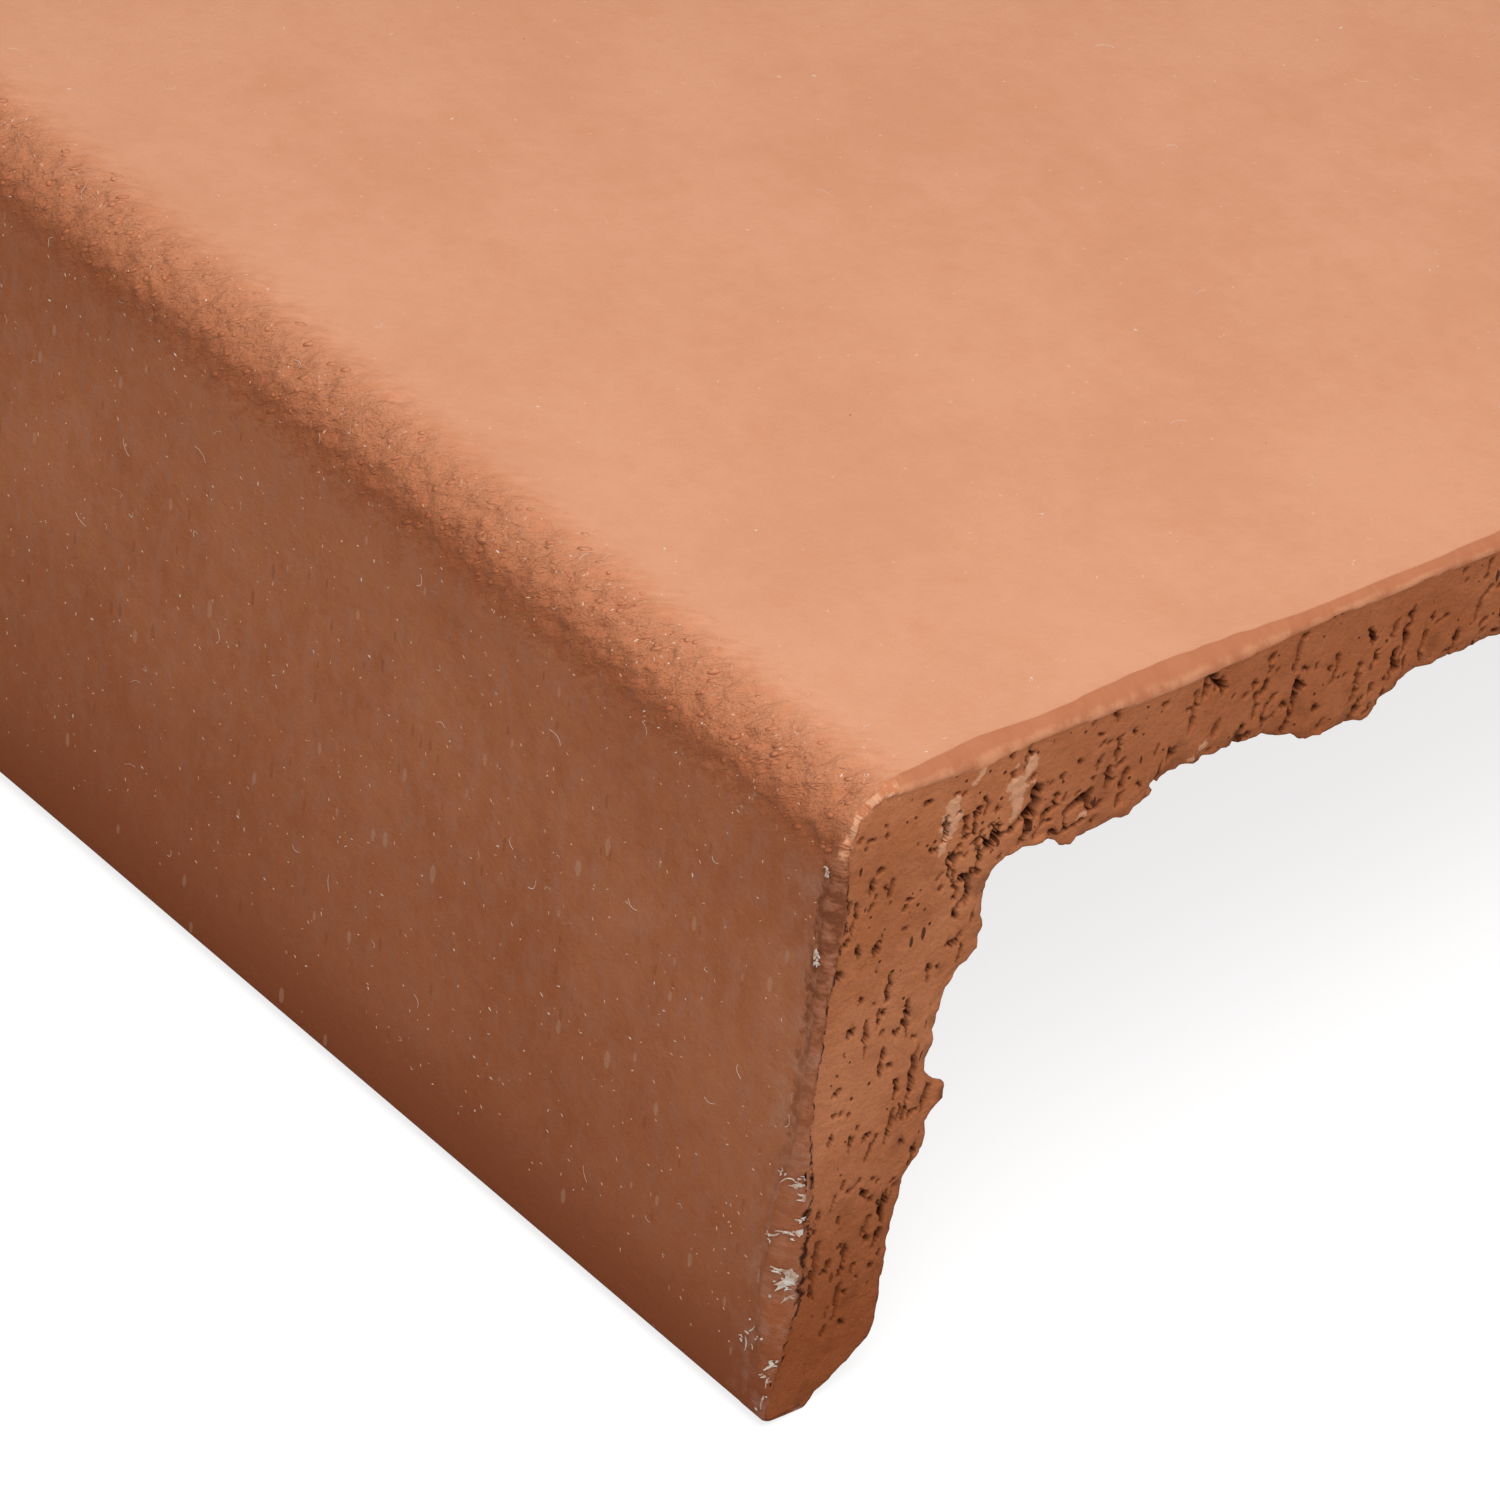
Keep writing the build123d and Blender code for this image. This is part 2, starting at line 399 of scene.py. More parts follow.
def pore_depth(place, pores, side):
    """Depth of all pores at every point of a cut end."""
    flat = np.concatenate([place, np.full(place.shape[:2] + (1,), side * 9.0)], axis=2).reshape(-1, 3)
    ragged_u, ragged_w, ragged_rim, ragged_fine = (
        noise(flat, size, seed).reshape(place.shape[:2])
        for size, seed in ((0.55, 21), (0.55, 22), (0.24, 23), (0.25, 24)))
    ragged_u = ragged_u + 0.5 * ragged_fine
    depth = np.zeros(place.shape[:2])
    for u, w, length, width, deep, lean in pores:
        reach = length / 2 + 0.8
        off = SHOWN - (u, w)
        rows = np.where((np.abs(off).min(axis=1) < 16) & (np.linalg.norm(off, axis=1) < 24))[0]
        if not len(rows):
            continue
        window = slice(rows[0], rows[-1] + 1)
        du = place[window, :, 0] - u + 0.17 * ragged_u[window]
        dw = place[window, :, 1] - w + 0.17 * ragged_w[window]
        near = (np.abs(du) < reach) & (np.abs(dw) < reach)
        s, c = math.sin(math.radians(lean)), math.cos(math.radians(lean))
        along = (du * s + dw * c)[near] / (length / 2)
        across = (du * c - dw * s)[near] / (width / 2)
        full = 1 - along**2 * np.abs(along) - across**2 + 0.45 * ragged_rim[window][near]
        here = deep * np.clip(full * 2.2, 0, 1) ** 0.6
        part = depth[window]
        part[near] = np.maximum(part[near], here)
    return depth


def pale_crumbs(place, flat):
    """Where the clay is pale and crumbly, from 0 to 1."""
    ragged = (0.9 * noise(flat, 0.7, 71) + 0.6 * noise(flat, 0.3, 72)).reshape(place.shape[:2])
    found = np.zeros(place.shape[:2])
    for u, w, length, width, lean in PALE_PATCHES:
        s, c = math.sin(math.radians(lean)), math.cos(math.radians(lean))
        du, dw = place[..., 0] - u, place[..., 1] - w
        far = ((du * s + dw * c) / (length / 2)) ** 2 + ((du * c - dw * s) / (width / 2)) ** 2
        found = np.maximum(found, smooth(1.0 - far + 0.9 * ragged, -0.2, 0.9))
    return found


def cut_end(side, rng):
    """One cut end, over all stations and depths: how far it lies in, its skin, its pores and its crumbs."""
    k, t = np.meshgrid(np.arange(CHAIN + 1.0), np.arange(THROUGH + 1.0), indexing="ij")
    place = in_section(k, t)
    flat = np.concatenate([place, np.full(k.shape + (1,), side * 31.0)], axis=2).reshape(-1, 3)

    def rough(size, seed):
        return noise(flat, size, seed).reshape(k.shape)

    def lumpy(size, seed):
        return lumps(flat, size, seed).reshape(k.shape)

    depth = from_skin(place)
    width = arris_width(np.arange(CHAIN + 1.0), side)[:, None]
    arris = worn(depth, width)
    ragged = rough(0.9, 31)
    on_leg = smooth(FROM_NOSE, 3.0, -2.0)[:, None]
    notched = lumpy(0.9, 32)
    edge = depth / width + 0.05 * ragged + on_leg * (0.38 * notched - 0.05)
    body = smooth(edge, 0.93, 1.07)
    pores = pore_depth(place, pore_list(side, rng), side) * smooth(edge, 1.0, 1.2)
    to_hidden = (1 - t / THROUGH) * np.linalg.norm(SHOWN - HIDDEN, axis=1)[:, None]
    plane = CUT_STEP + 0.05 * (1 + rough(6.0, 33))
    whole = smooth(k, CHAIN - 140, CHAIN - 85)
    chipped = smooth(to_hidden, 1.6, 0.0) * (0.22 + 0.42 * lumpy(1.3, 38)) * (1 - whole)
    torn = smooth(to_hidden, 3.2, 0.6) * 0.16 * lumpy(0.8, 43)
    bruise = smooth(lumpy(1.7, 47), 0.22, 0.5) * smooth(to_hidden, 9.0, 2.0)
    dents = bruise * (0.10 + 0.05 * rough(0.6, 48))
    pale = pale_crumbs(place, flat) if side > 0 else np.zeros(k.shape)
    crumbs = pale * (0.05 + 0.09 * rough(0.32, 73))
    inward = arris + body * np.clip(plane + np.clip(chipped, 0, 1) + torn + dents - crumbs, 0.0, 1.2) + pores
    inward = inward - (1 - body) * np.minimum(arris, crumbs)
    at_corner = smooth(np.abs(FROM_NOSE + 0.5), 5.0, 2.0)[:, None] * smooth(edge, 2.2, 1.0)
    inward = inward + at_corner * 0.14 * (1 + rough(0.5, 75))
    return {
        "place": place, "in": inward, "skin": 1 - body, "edge": edge,
        # Painted shade: the pore field darkens the pores and dents by their depth.
        "pore_shade": np.clip(pores / 0.22 + 0.2 * bruise * body, 0, 1),
        "pale": pale * (1 - np.clip(pores / 0.3, 0, 1)),
    }


RNG = np.random.default_rng(SEED)
ENDS = {side: cut_end(side, RNG) for side in (1, -1)}


# Cells of the surface

def blocks(size_a, size_b, step_a, step_b):
    """Starting cells (a0, a1, b0, b1) of one face of the surface."""
    cuts_a = sorted({*range(0, size_a, step_a), size_a})
    cuts_b = sorted({*range(0, size_b, step_b), size_b})
    spans = itertools.product(zip(cuts_a, cuts_a[1:]), zip(cuts_b, cuts_b[1:]))
    return np.array([(*a, *b) for a, b in spans])


def split(cells, wants):
    """Halves cells, along a, along b or both in turn, until none wants it."""
    done = []
    while len(cells):
        along_a, along_b = wants(cells)
        along_a &= cells[:, 1] - cells[:, 0] > 1
        along_b &= (cells[:, 3] - cells[:, 2] > 1) & ~along_a
        done.append(cells[~along_a & ~along_b])
        fresh = []
        for mask, low, high in ((along_a, 0, 1), (along_b, 2, 3)):
            first, second = cells[mask].copy(), cells[mask].copy()
            middle = (first[:, low] + first[:, high]) // 2
            first[:, high], second[:, low] = middle, middle
            fresh += [first, second]
        cells = np.vstack(fresh)
    return np.vstack(done)


def wants_by_size(length_a, length_b, wanted):
    """Splits a cell along its side that is longest for the size wanted there."""
    def wants(cells):
        a0, a1, b0, b1 = cells.T
        side_a, side_b = length_a(a0, a1), length_b(b0, b1)
        corners = [wanted(a, b) for a in (a0, (a0 + a1) / 2, a1) for b in (b0, (b0 + b1) / 2, b1)]
        size_a = np.min([c[0] for c in corners], axis=0)
        size_b = np.min([c[1] for c in corners], axis=0)
        over_a, over_b = side_a / size_a, side_b / size_b
        return (over_a > 1) & (over_a >= over_b), (over_b > 1)
    return wants


def along_length(b0, b1):
    return (b1 - b0) * NOSE_LENGTH / ALONG


def shown_length(a0, a1):
    return SHOWN_RUN[a1] - SHOWN_RUN[a0]


def hidden_length(a0, a1):
    return HIDDEN_RUN[a1] - HIDDEN_RUN[a0]


def through_length(t0, t1):
    return (t1 - t0) * FINE


def to_ends(x):
    """Distance in from the right and the left cut end, for places along the lattice."""
    right = (ALONG - x) * NOSE_LENGTH / ALONG
    return right, NOSE_LENGTH - right


def shown_size(k, x):
    right, left = to_ends(x)
    run = at_station(FROM_NOSE, np.asarray(k, float))
    unseen = np.clip(run - FINE_REACH, 0, None) * 0.03
    lip = 0.32 + np.minimum(unseen, 0.5) + 0.35 * np.clip(right - 1.5, 0, None)
    nose = 0.32 + np.clip(right - 88, 0, 40) * 0.04 + 0.6 * np.clip(np.abs(run) - 4.8, 0, None)
    size = np.minimum(np.minimum(lip, nose), np.minimum(1.3 + 0.6 * left, 8.0))
    return size, size


def hidden_size(k, x):
    right, left = to_ends(x)
    run = at_station(FROM_NOSE, np.asarray(k, float))
    unseen = np.minimum(np.clip(run - FINE_REACH, 0, None) * 0.03, 0.5)
    near = 0.62 + unseen + 0.6 * np.clip(right - 0.6, 0, None)
    size = np.minimum(near, np.minimum(1.3 + 0.8 * left, 20.0))
    return np.minimum(size, 5.0), size


def bent_wants(line, by_size, allowed):
    """Splits by size, and along the section wherever a cell's chord would leave the line that far."""
    def wants(cells):
        along_a, along_b = by_size(cells)
        a0, a1 = cells[:, 0], cells[:, 1]
        worst = np.zeros(len(cells))
        for share in (0.1, 0.25, 0.5, 0.75, 0.9):
            chord = line[a0] * (1 - share) + line[a1] * share
            here = at_station(line, a0 + (a1 - a0) * share)
            worst = np.maximum(worst, np.linalg.norm(here - chord, axis=1))
        return along_a | (worst > allowed), along_b
    return wants


def end_wants(side):
    """Halves a cell of a cut end where its corners don't give the shape between them."""
    end = ENDS[side]
    values = np.dstack([end["place"], end["in"], end["skin"] * 0.25, end["pore_shade"] * 0.16])
    place = end["place"]
    def wants(cells):
        a0, a1, b0, b1 = cells.T
        am, bm = (a0 + a1) // 2, (b0 + b1) // 2
        loose = np.clip(place[am, bm, 0] - FINE_REACH, 0, 60) * 0.003
        allowed = 0.05 + loose if side > 0 else np.full(len(cells), 0.2)
        least = 0.21 + 1.2 * loose if side > 0 else np.full(len(cells), 0.5)
        worst = np.zeros(len(cells))
        for i, j in itertools.product(range(9), repeat=2):
            a, b = a0 + (a1 - a0) * i // 8, b0 + (b1 - b0) * j // 8
            fa, fb = ((a - a0) / (a1 - a0))[:, None], ((b - b0) / (b1 - b0))[:, None]
            low = values[a0, b0] * (1 - fa) + values[a1, b0] * fa
            high = values[a0, b1] * (1 - fa) + values[a1, b1] * fa
            worst = np.maximum(worst, np.abs(values[a, b] - low * (1 - fb) - high * fb).max(axis=1))
        length_a = np.linalg.norm(place[a1, bm] - place[a0, bm], axis=1)
        length_b = np.linalg.norm(place[am, b1] - place[am, b0], axis=1)
        longer = np.maximum(length_a, length_b)
        bad = ((worst > allowed) & (longer > least)) | (longer > (0.85 if side > 0 else 1.6))
        return bad & (length_a >= length_b), bad & (length_a < length_b)
    return wants


def narrow_size(t, x):
    right, left = to_ends(x)
    size = np.minimum(0.35 + 0.4 * right, np.minimum(1.0 + 0.5 * left, 8.0))
    return np.minimum(size, 2.0), size


def all_cells():
    """Cells of the six faces of the surface, as corners (k, t, x) in order round each cell."""
    faces = []

    def add(cells, corner, flip):
        a0, a1, b0, b1 = cells.T
        ring = [(a0, b0), (a1, b0), (a1, b1), (a0, b1)]
        if flip:
            ring = ring[::-1]
        faces.append(np.stack([np.stack(corner(a, b), axis=1) for a, b in ring], axis=1))

    by_size = wants_by_size(shown_length, along_length, shown_size)
    shown = split(blocks(CHAIN, ALONG, 48, 48), bent_wants(SHOWN, by_size, 0.03))
    add(shown, lambda a, b: (a, a * 0, b), False)
    by_size = wants_by_size(hidden_length, along_length, hidden_size)
    hidden = split(blocks(CHAIN, ALONG, 48, 192), bent_wants(HIDDEN, by_size, 0.04))
    add(hidden, lambda a, b: (a, a * 0 + THROUGH, b), True)
    for side, x, flip in ((1, ALONG, False), (-1, 0, True)):
        cells = split(blocks(CHAIN, THROUGH, 32, 32), end_wants(side))
        add(cells, lambda a, b: (a, b, a * 0 + x), flip)
    for station, flip in ((0, True), (CHAIN, False)):
        by_size = wants_by_size(through_length, along_length, narrow_size)
        cells = split(blocks(THROUGH, ALONG, 24, 100), by_size)
        add(cells, lambda a, b: (a * 0 + station, a, b), flip)
    return np.concatenate(faces)


def code(corner):
    """One number for each corner (k, t, x)."""
    return (corner[..., 0] * (THROUGH + 1) + corner[..., 1]) * (ALONG + 1) + corner[..., 2]


def with_hanging(cells):
    """Rings of corner codes, each with every corner of a neighbour that lies on its sides."""
    codes = code(cells)
    used = np.unique(codes)
    k, rest = np.divmod(used, (THROUGH + 1) * (ALONG + 1))
    t, x = np.divmod(rest, ALONG + 1)
    parts = (k, t, x)
    spans = (CHAIN + 1, THROUGH + 1, ALONG + 1)
    lines = []
    for axis in range(3):
        others = [n for n in range(3) if n != axis]
        key = (parts[others[0]] * spans[others[1]] + parts[others[1]]) * spans[axis] + parts[axis]
        order = np.argsort(key)
        lines.append((key[order], used[order], others))
    rings = []
    sides = []
    for n in range(4):
        start, end = cells[:, n], cells[:, (n + 1) % 4]
        axis = np.argmax(start != end, axis=1)
        low, high = np.empty(len(cells), int), np.empty(len(cells), int)
        for number, (keys, _, others) in enumerate(lines):
            mine = axis == number
            ends = []
            for place in (start[mine], end[mine]):
                key = place[:, others[0]] * spans[others[1]] + place[:, others[1]]
                ends.append(np.searchsorted(keys, key * spans[number] + place[:, number]))
            low[mine], high[mine] = ends
        sides.append((axis, low, high))
    for cell in range(len(cells)):
        ring = []
        for axis, low, high in sides:
            found = lines[axis[cell]][1]
            a, b = low[cell], high[cell]
            ring.extend(found[a:b] if a < b else found[b + 1:a + 1][::-1])
        rings.append(ring)
    return used, rings


# The tile's shape

# What the shader reads on a cut end, and the field of that end that gives it.
READ_ON_END = (("skin", "skin"), ("band", "skin"), ("pore_shade", "pore_shade"), ("pale", "pale"), ("edge", "edge"))

# How far in from a cut end the tile's inside still follows it.
END_REACH = 5.0

# The clay was dragged over the nose along this slant: one share along it and one across.
DRAG_WITH = 0.32
DRAG_OVER = 0.71


def between(field, k, t):
    """A cut end's field at places that may fall between its stations and depths."""
    low = np.clip(np.floor(k).astype(int), 0, CHAIN - 1)
    under = np.clip(np.floor(t).astype(int), 0, THROUGH - 1)
    share_k, share_t = k - low, t - under
    near = field[low, under] * (1 - share_k) + field[low + 1, under] * share_k
    far = field[low, under + 1] * (1 - share_k) + field[low + 1, under + 1] * share_k
    return near * (1 - share_t) + far * share_t


def displaced(k, t, x):
    """Every point of the fired tile as laid, (x, u, w) in millimetres, and what the shader reads there."""
    place = in_section(k, t)
    right, left = to_ends(x)
    flat = np.column_stack([place, -right])
    along = NOSE_LENGTH / 2 - right
    seen = {name: np.zeros(len(k)) for name in ("band", "pore_shade", "pale", "edge")}
    seen["skin"] = (t < THROUGH).astype(float)
    for side, away in ((1, right), (-1, left)):
        end = ENDS[side]
        along = along - side * between(end["in"], k, t) * np.clip(1 - away / END_REACH, 0, 1) ** 2
        for name, field in READ_ON_END:
            seen[name] = np.where(away <= 0, between(end[field], k, t), seen[name])
    along = np.clip(along, -NOSE_LENGTH / 2 + RECESS, NOSE_LENGTH / 2 - RECESS)
    run = at_station(FROM_NOSE, k)
    end_fade = smooth(np.minimum(right, left), 0.0, 1.5)

    dragged = np.column_stack([(run - right) * DRAG_WITH, (run + right) * DRAG_OVER, np.zeros_like(run)])
    flaky = 0.5 - 1.4 * np.abs(noise(dragged, 0.8, 51)) + 0.5 * noise(dragged, 0.45, 52)
    grain = 0.30 * flaky + 0.30 * lumps(dragged, 1.8, 54) - 0.20
    nose = np.exp(-(np.abs(run + 0.2) / 4.0) ** 4)
    sag = 0.03 * noise(flat, 24.0, 56)
    shown_by = (grain * nose * (0.6 + 0.4 * end_fade) + sag - 0.10) * np.clip(1 - t / COLLAR, 0, 1)
    shown_by = np.minimum(shown_by, 0) - RECESS * (t < THROUGH)

    from_hidden = (1 - t / THROUGH) * np.linalg.norm(at_station(SHOWN, k) - at_station(HIDDEN, k), axis=1)
    near_end = smooth(right, 3.5, 0.0)
    off_foot = 1 - smooth(k, CHAIN - 130, CHAIN - 80)
    torn = (0.16 * lumps(flat, 1.5, 61) + 0.12 * noise(flat, 0.5, 64) - 0.08) * near_end * off_foot
    crumbs = np.zeros(len(k))
    for u, w, reach, height in STANDING_CRUMBS:
        far = np.hypot(place[:, 0] - u, place[:, 1] - w) / reach + right / 2.0
        crumbs = np.maximum(crumbs, height * np.exp(-(far**2)))
    rough = 0.07 * lumps(flat, 3.0, 66) * smooth(right, 12.0, 2.0) - 0.05
    hidden_by = (np.minimum(torn + rough, 0.35 * near_end) + crumbs) * smooth(from_hidden, 1.6, 0.0) - RECESS
    bearing = np.maximum(smooth(k, 60, 20), smooth(k, CHAIN - 75, CHAIN - 45))
    held = np.minimum(hidden_by, -RECESS) * bearing * (1 - smooth(k, CHAIN - 45, CHAIN - 15))
    hidden_by = hidden_by * (1 - bearing) + held

    to_shown = np.clip(1 - t / THROUGH, 0, 1)[:, None]
    to_hidden = smooth(t, THROUGH * 0.4, THROUGH)[:, None]
    place = place + at_station(OUT_SHOWN, k) * shown_by[:, None] * to_shown
    place = place + at_station(OUT_HIDDEN, k) * hidden_by[:, None] * to_hidden
    seen["from_nose"] = run
    shown = (t == 0) & (right > 1.0) & (left > 1.0) & (k > 40) & (k < CHAIN - 60)
    seen["dusty"] = shown * (0.10 + 0.45 * smooth(run, -2.0, -5.0) + 1.2 * np.exp(-((run - 0.5) / 2.6) ** 2))
    seen["flaked"] = shown * np.exp(-(np.abs(run + 0.4) / 3.2) ** 4)
    return np.column_stack([along, place]), seen


def resting():
    """Turn and shift that lay the loose tile on its foot and its back edge, in the CAD node's own box."""
    bevel = math.atan2(FOOT_RISE, FOOT_THICKNESS - FOOT_LAND)
    foot_centre = FOOT_LAND - BEARING_RADIUS * math.tan(bevel / 2)
    tilt = math.atan2(LEG_HEIGHT - EDGE_THICKNESS, TREAD_DEPTH - BEARING_RADIUS - foot_centre)
    outline = np.vstack([SHOWN, HIDDEN])
    forward = outline[:, 0] * math.cos(tilt) + outline[:, 1] * math.sin(tilt)
    upward = -outline[:, 0] * math.sin(tilt) + outline[:, 1] * math.cos(tilt)
    low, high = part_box("stair_tread_tile")
    shift = ((low.y + high.y) / 2 / MM - (forward.min() + forward.max()) / 2, low.z / MM - upward.min())
    return tilt, shift


TILT, SHIFT = resting()


def to_frame(points):
    """From the tile as laid, (x, u, w) in millimetres, to the shared frame in metres."""
    x, u, w = np.asarray(points, float).T
    y = u * math.cos(TILT) + w * math.sin(TILT) + SHIFT[0]
    z = -u * math.sin(TILT) + w * math.cos(TILT) + SHIFT[1]
    return np.column_stack([x, y, z]) * MM


def fired_tile():
    """The whole tile as one closed mesh."""
    used, rings = with_hanging(all_cells())
    k, rest = np.divmod(used, (THROUGH + 1) * (ALONG + 1))
    t, x = np.divmod(rest, ALONG + 1)
    number = {value: index for index, value in enumerate(used.tolist())}
    spots = [k.astype(float), t.astype(float), x.astype(float)]
    faces, centres = [], []
    for ring in rings:
        ring = [number[value] for value in ring]
        if len(ring) == 4:
            faces.append(ring)
            continue
        middle = len(used) + len(centres)
        centres.append([spot[ring].mean() for spot in spots])
        faces.extend([middle, a, b] for a, b in zip(ring, ring[1:] + ring[:1]))
    if centres:
        spots = [np.concatenate([spot, extra]) for spot, extra in zip(spots, np.array(centres).T)]
    k, t, x = spots
    points, seen = displaced(k, t, x)
    mesh = bpy.data.meshes.new("fired_tile")
    mesh.from_pydata(to_frame(points).tolist(), [], faces)
    mesh.validate()
    mesh.update()
    mesh.shade_smooth()
    as_laid = np.column_stack([NOSE_LENGTH / 2 - to_ends(x)[0], in_section(k, t)]).astype(np.float32)
    mesh.attributes.new("laid", "FLOAT_VECTOR", "POINT").data.foreach_set("vector", as_laid.ravel())
    for name, values in seen.items():
        mesh.attributes.new(name, "FLOAT", "POINT").data.foreach_set("value", values.astype(np.float32))
    print("tile:", len(mesh.vertices), "points,", sum(len(f) - 2 for f in faces), "triangles")
    return put("fired_tile", mesh)


# Materials

def put(name, data):
    """A new object in the scene."""
    made = bpy.data.objects.new(name, data)
    bpy.context.scene.collection.objects.link(made)
    return made


def group(name, inputs, outputs, build):
    """A named shader node group. build gets its nodes, links, inputs and output sockets."""
    tree = bpy.data.node_groups.new(name, "ShaderNodeTree")
    for label, kind, value in inputs:
        socket = tree.interface.new_socket(label, in_out="INPUT", socket_type=kind)
        if value is not None:
            socket.default_value = value
    for label, kind in outputs:
        tree.interface.new_socket(label, in_out="OUTPUT", socket_type=kind)
    build(Maker(tree), tree.nodes.new("NodeGroupInput").outputs, tree.nodes.new("NodeGroupOutput").inputs)
    return tree


class Maker:
    """Adds nodes to a tree and joins them."""

    def __init__(self, tree):
        self.tree = tree

    def node(self, kind, settings=None, **inputs):
        made = self.tree.nodes.new(kind)
        for key, value in (settings or {}).items():
            setattr(made, key, value)
        for key, value in inputs.items():
            socket = made.inputs[int(key[1:])] if key[1:].isdigit() else made.inputs[key.replace("_", " ")]
            if isinstance(value, bpy.types.NodeSocket):
                self.tree.links.new(value, socket)
            else:
                socket.default_value = value
        return made

    def join(self, source, target):
        self.tree.links.new(source, target)

    def math(self, operation, a, b=0.0):
        return self.node("ShaderNodeMath", {"operation": operation}, i0=a, i1=b).outputs[0]

    def times(self, a, b):
        return self.math("MULTIPLY", a, b)

    def plus(self, a, b):
        return self.math("ADD", a, b)

    def less(self, a, b):
        return self.math("SUBTRACT", a, b)

    def mix(self, share, a, b):
        """Colour a, turned to colour b by that share."""
        return self.node("ShaderNodeMix", {"data_type": "RGBA"}, i0=share, i6=a, i7=b).outputs[2]

    def choose(self, second, a, b):
        """One of two places, by a mask that is 0 or 1."""
        return self.node("ShaderNodeMix", {"data_type": "VECTOR"}, i0=second, i4=a, i5=b).outputs[1]

    def ramp(self, value, low, high, start=0.0, end=1.0):
        """Turns smoothly from start to end as the value goes from low to high."""
        settings = {"interpolation_type": "SMOOTHSTEP"}
        made = self.node("ShaderNodeMapRange", settings, i0=value, i1=low, i2=high, i3=start, i4=end)
        return made.outputs[0]

    def noise(self, vector, scale, detail=3.0, rough=0.55):
        made = self.node("ShaderNodeTexNoise", {}, Vector=vector, Scale=scale, Detail=detail, Roughness=rough)
        return made.outputs[0]

    def stretched(self, vector, scale):
        return self.node("ShaderNodeMapping", {}, Vector=vector, Scale=scale).outputs[0]


FLOAT, VECTOR = "NodeSocketFloat", "NodeSocketVector"
ROUGHNESS = 0.9


def matt(name, specular):
    """A new matt material, with its maker and its shader."""
    material = bpy.data.materials.new(name)
    material.use_nodes = True
    shader = material.node_tree.nodes["Principled BSDF"]
    shader.inputs["Roughness"].default_value = ROUGHNESS
    shader.inputs["Specular IOR Level"].default_value = specular
    return material, Maker(material.node_tree), shader


def mottling(m, given, out):
    """Soft blotches, from dark to pale, the small clouds among them, and where the clay is warmer."""
    broad = m.noise(given["Place"], 0.06, 2.0)
    clouds = m.noise(given["Place"], 0.45, 4.0, 0.65)
    both = m.plus(m.times(broad, 0.6), m.times(clouds, 0.4))
    m.join(m.ramp(both, 0.34, 0.66), out["Tone"])
    m.join(clouds, out["Clouds"])
    m.join(m.ramp(m.noise(given["Place"], 0.22, 3.0, 0.6), 0.55, 0.75), out["Warmth"])


def streaks(m, given, out):
    """Streaks drawn down the front face."""
    drawn = m.stretched(given["Place"], (1.0, 1.0, 0.4))
    m.join(m.ramp(m.noise(drawn, 0.8, 3.0, 0.7), 0.42, 0.66), out["Streak"])


# Share of the small grains that are the odd dark one.
ODD_SHARE = 0.0015


def specks(m, given, out):
    """Small grains of another colour, few and crisp, on a surface that is laid out flat."""
    flat = {"voronoi_dimensions": "2D"}
    cells = m.node("ShaderNodeTexVoronoi", flat, Vector=given["Place"], Scale=given["Scale"], Randomness=1.0)
    chance = m.node("ShaderNodeSeparateColor", {}, i0=cells.outputs["Color"])
    chosen = m.math("LESS_THAN", chance.outputs[0], given["Share"])
    size = m.times(chance.outputs[1], given["Size"])
    ragged = m.plus(cells.outputs["Distance"], m.times(given["Ragged"], 0.12))
    near = m.ramp(m.less(ragged, size), 0.05, 0.0)
    m.join(m.times(near, chosen), out["Speck"])
    m.join(m.times(near, m.math("GREATER_THAN", chance.outputs[0], 1 - ODD_SHARE)), out["Odd one"])


def grain(m, given, out):
    """Fine gritty relief of fired clay, and flakes dragged across the nose."""
    coarse = m.noise(given["Place"], 1.1, 6.0, 0.7)
    fine = m.noise(given["Place"], 6.0, 2.0, 0.7)
    flaky = m.noise(given["Dragged"], 1.1, 4.0, 0.68)
    height = m.plus(m.times(coarse, given["Coarse"]), m.times(fine, given["Fine"]))
    height = m.plus(height, m.times(m.less(flaky, 0.5), given["Flaky"]))
    bump = m.node("ShaderNodeBump", {}, Strength=1.0, Distance=MM, Height=height)
    m.join(bump.outputs[0], out["Normal"])


MOTTLING = group(
    "clay mottling",
    [("Place", VECTOR, None)],
    [("Tone", FLOAT), ("Clouds", FLOAT), ("Warmth", FLOAT)],
    mottling)
STREAKS = group("drawn streaks", [("Place", VECTOR, None)], [("Streak", FLOAT)], streaks)
SPECKS = group(
    "specks",
    [("Place", VECTOR, None), ("Ragged", FLOAT, 0.5), ("Scale", FLOAT, 0.5), ("Share", FLOAT, 0.2),
     ("Size", FLOAT, 0.1)],
    [("Speck", FLOAT), ("Odd one", FLOAT)],
    specks)
GRAIN = group(
    "fired grain",
    [("Place", VECTOR, None), ("Dragged", VECTOR, None), ("Coarse", FLOAT, 0.1), ("Fine", FLOAT, 0.02),
     ("Flaky", FLOAT, 0.0)],
    [("Normal", VECTOR)],
    grain)

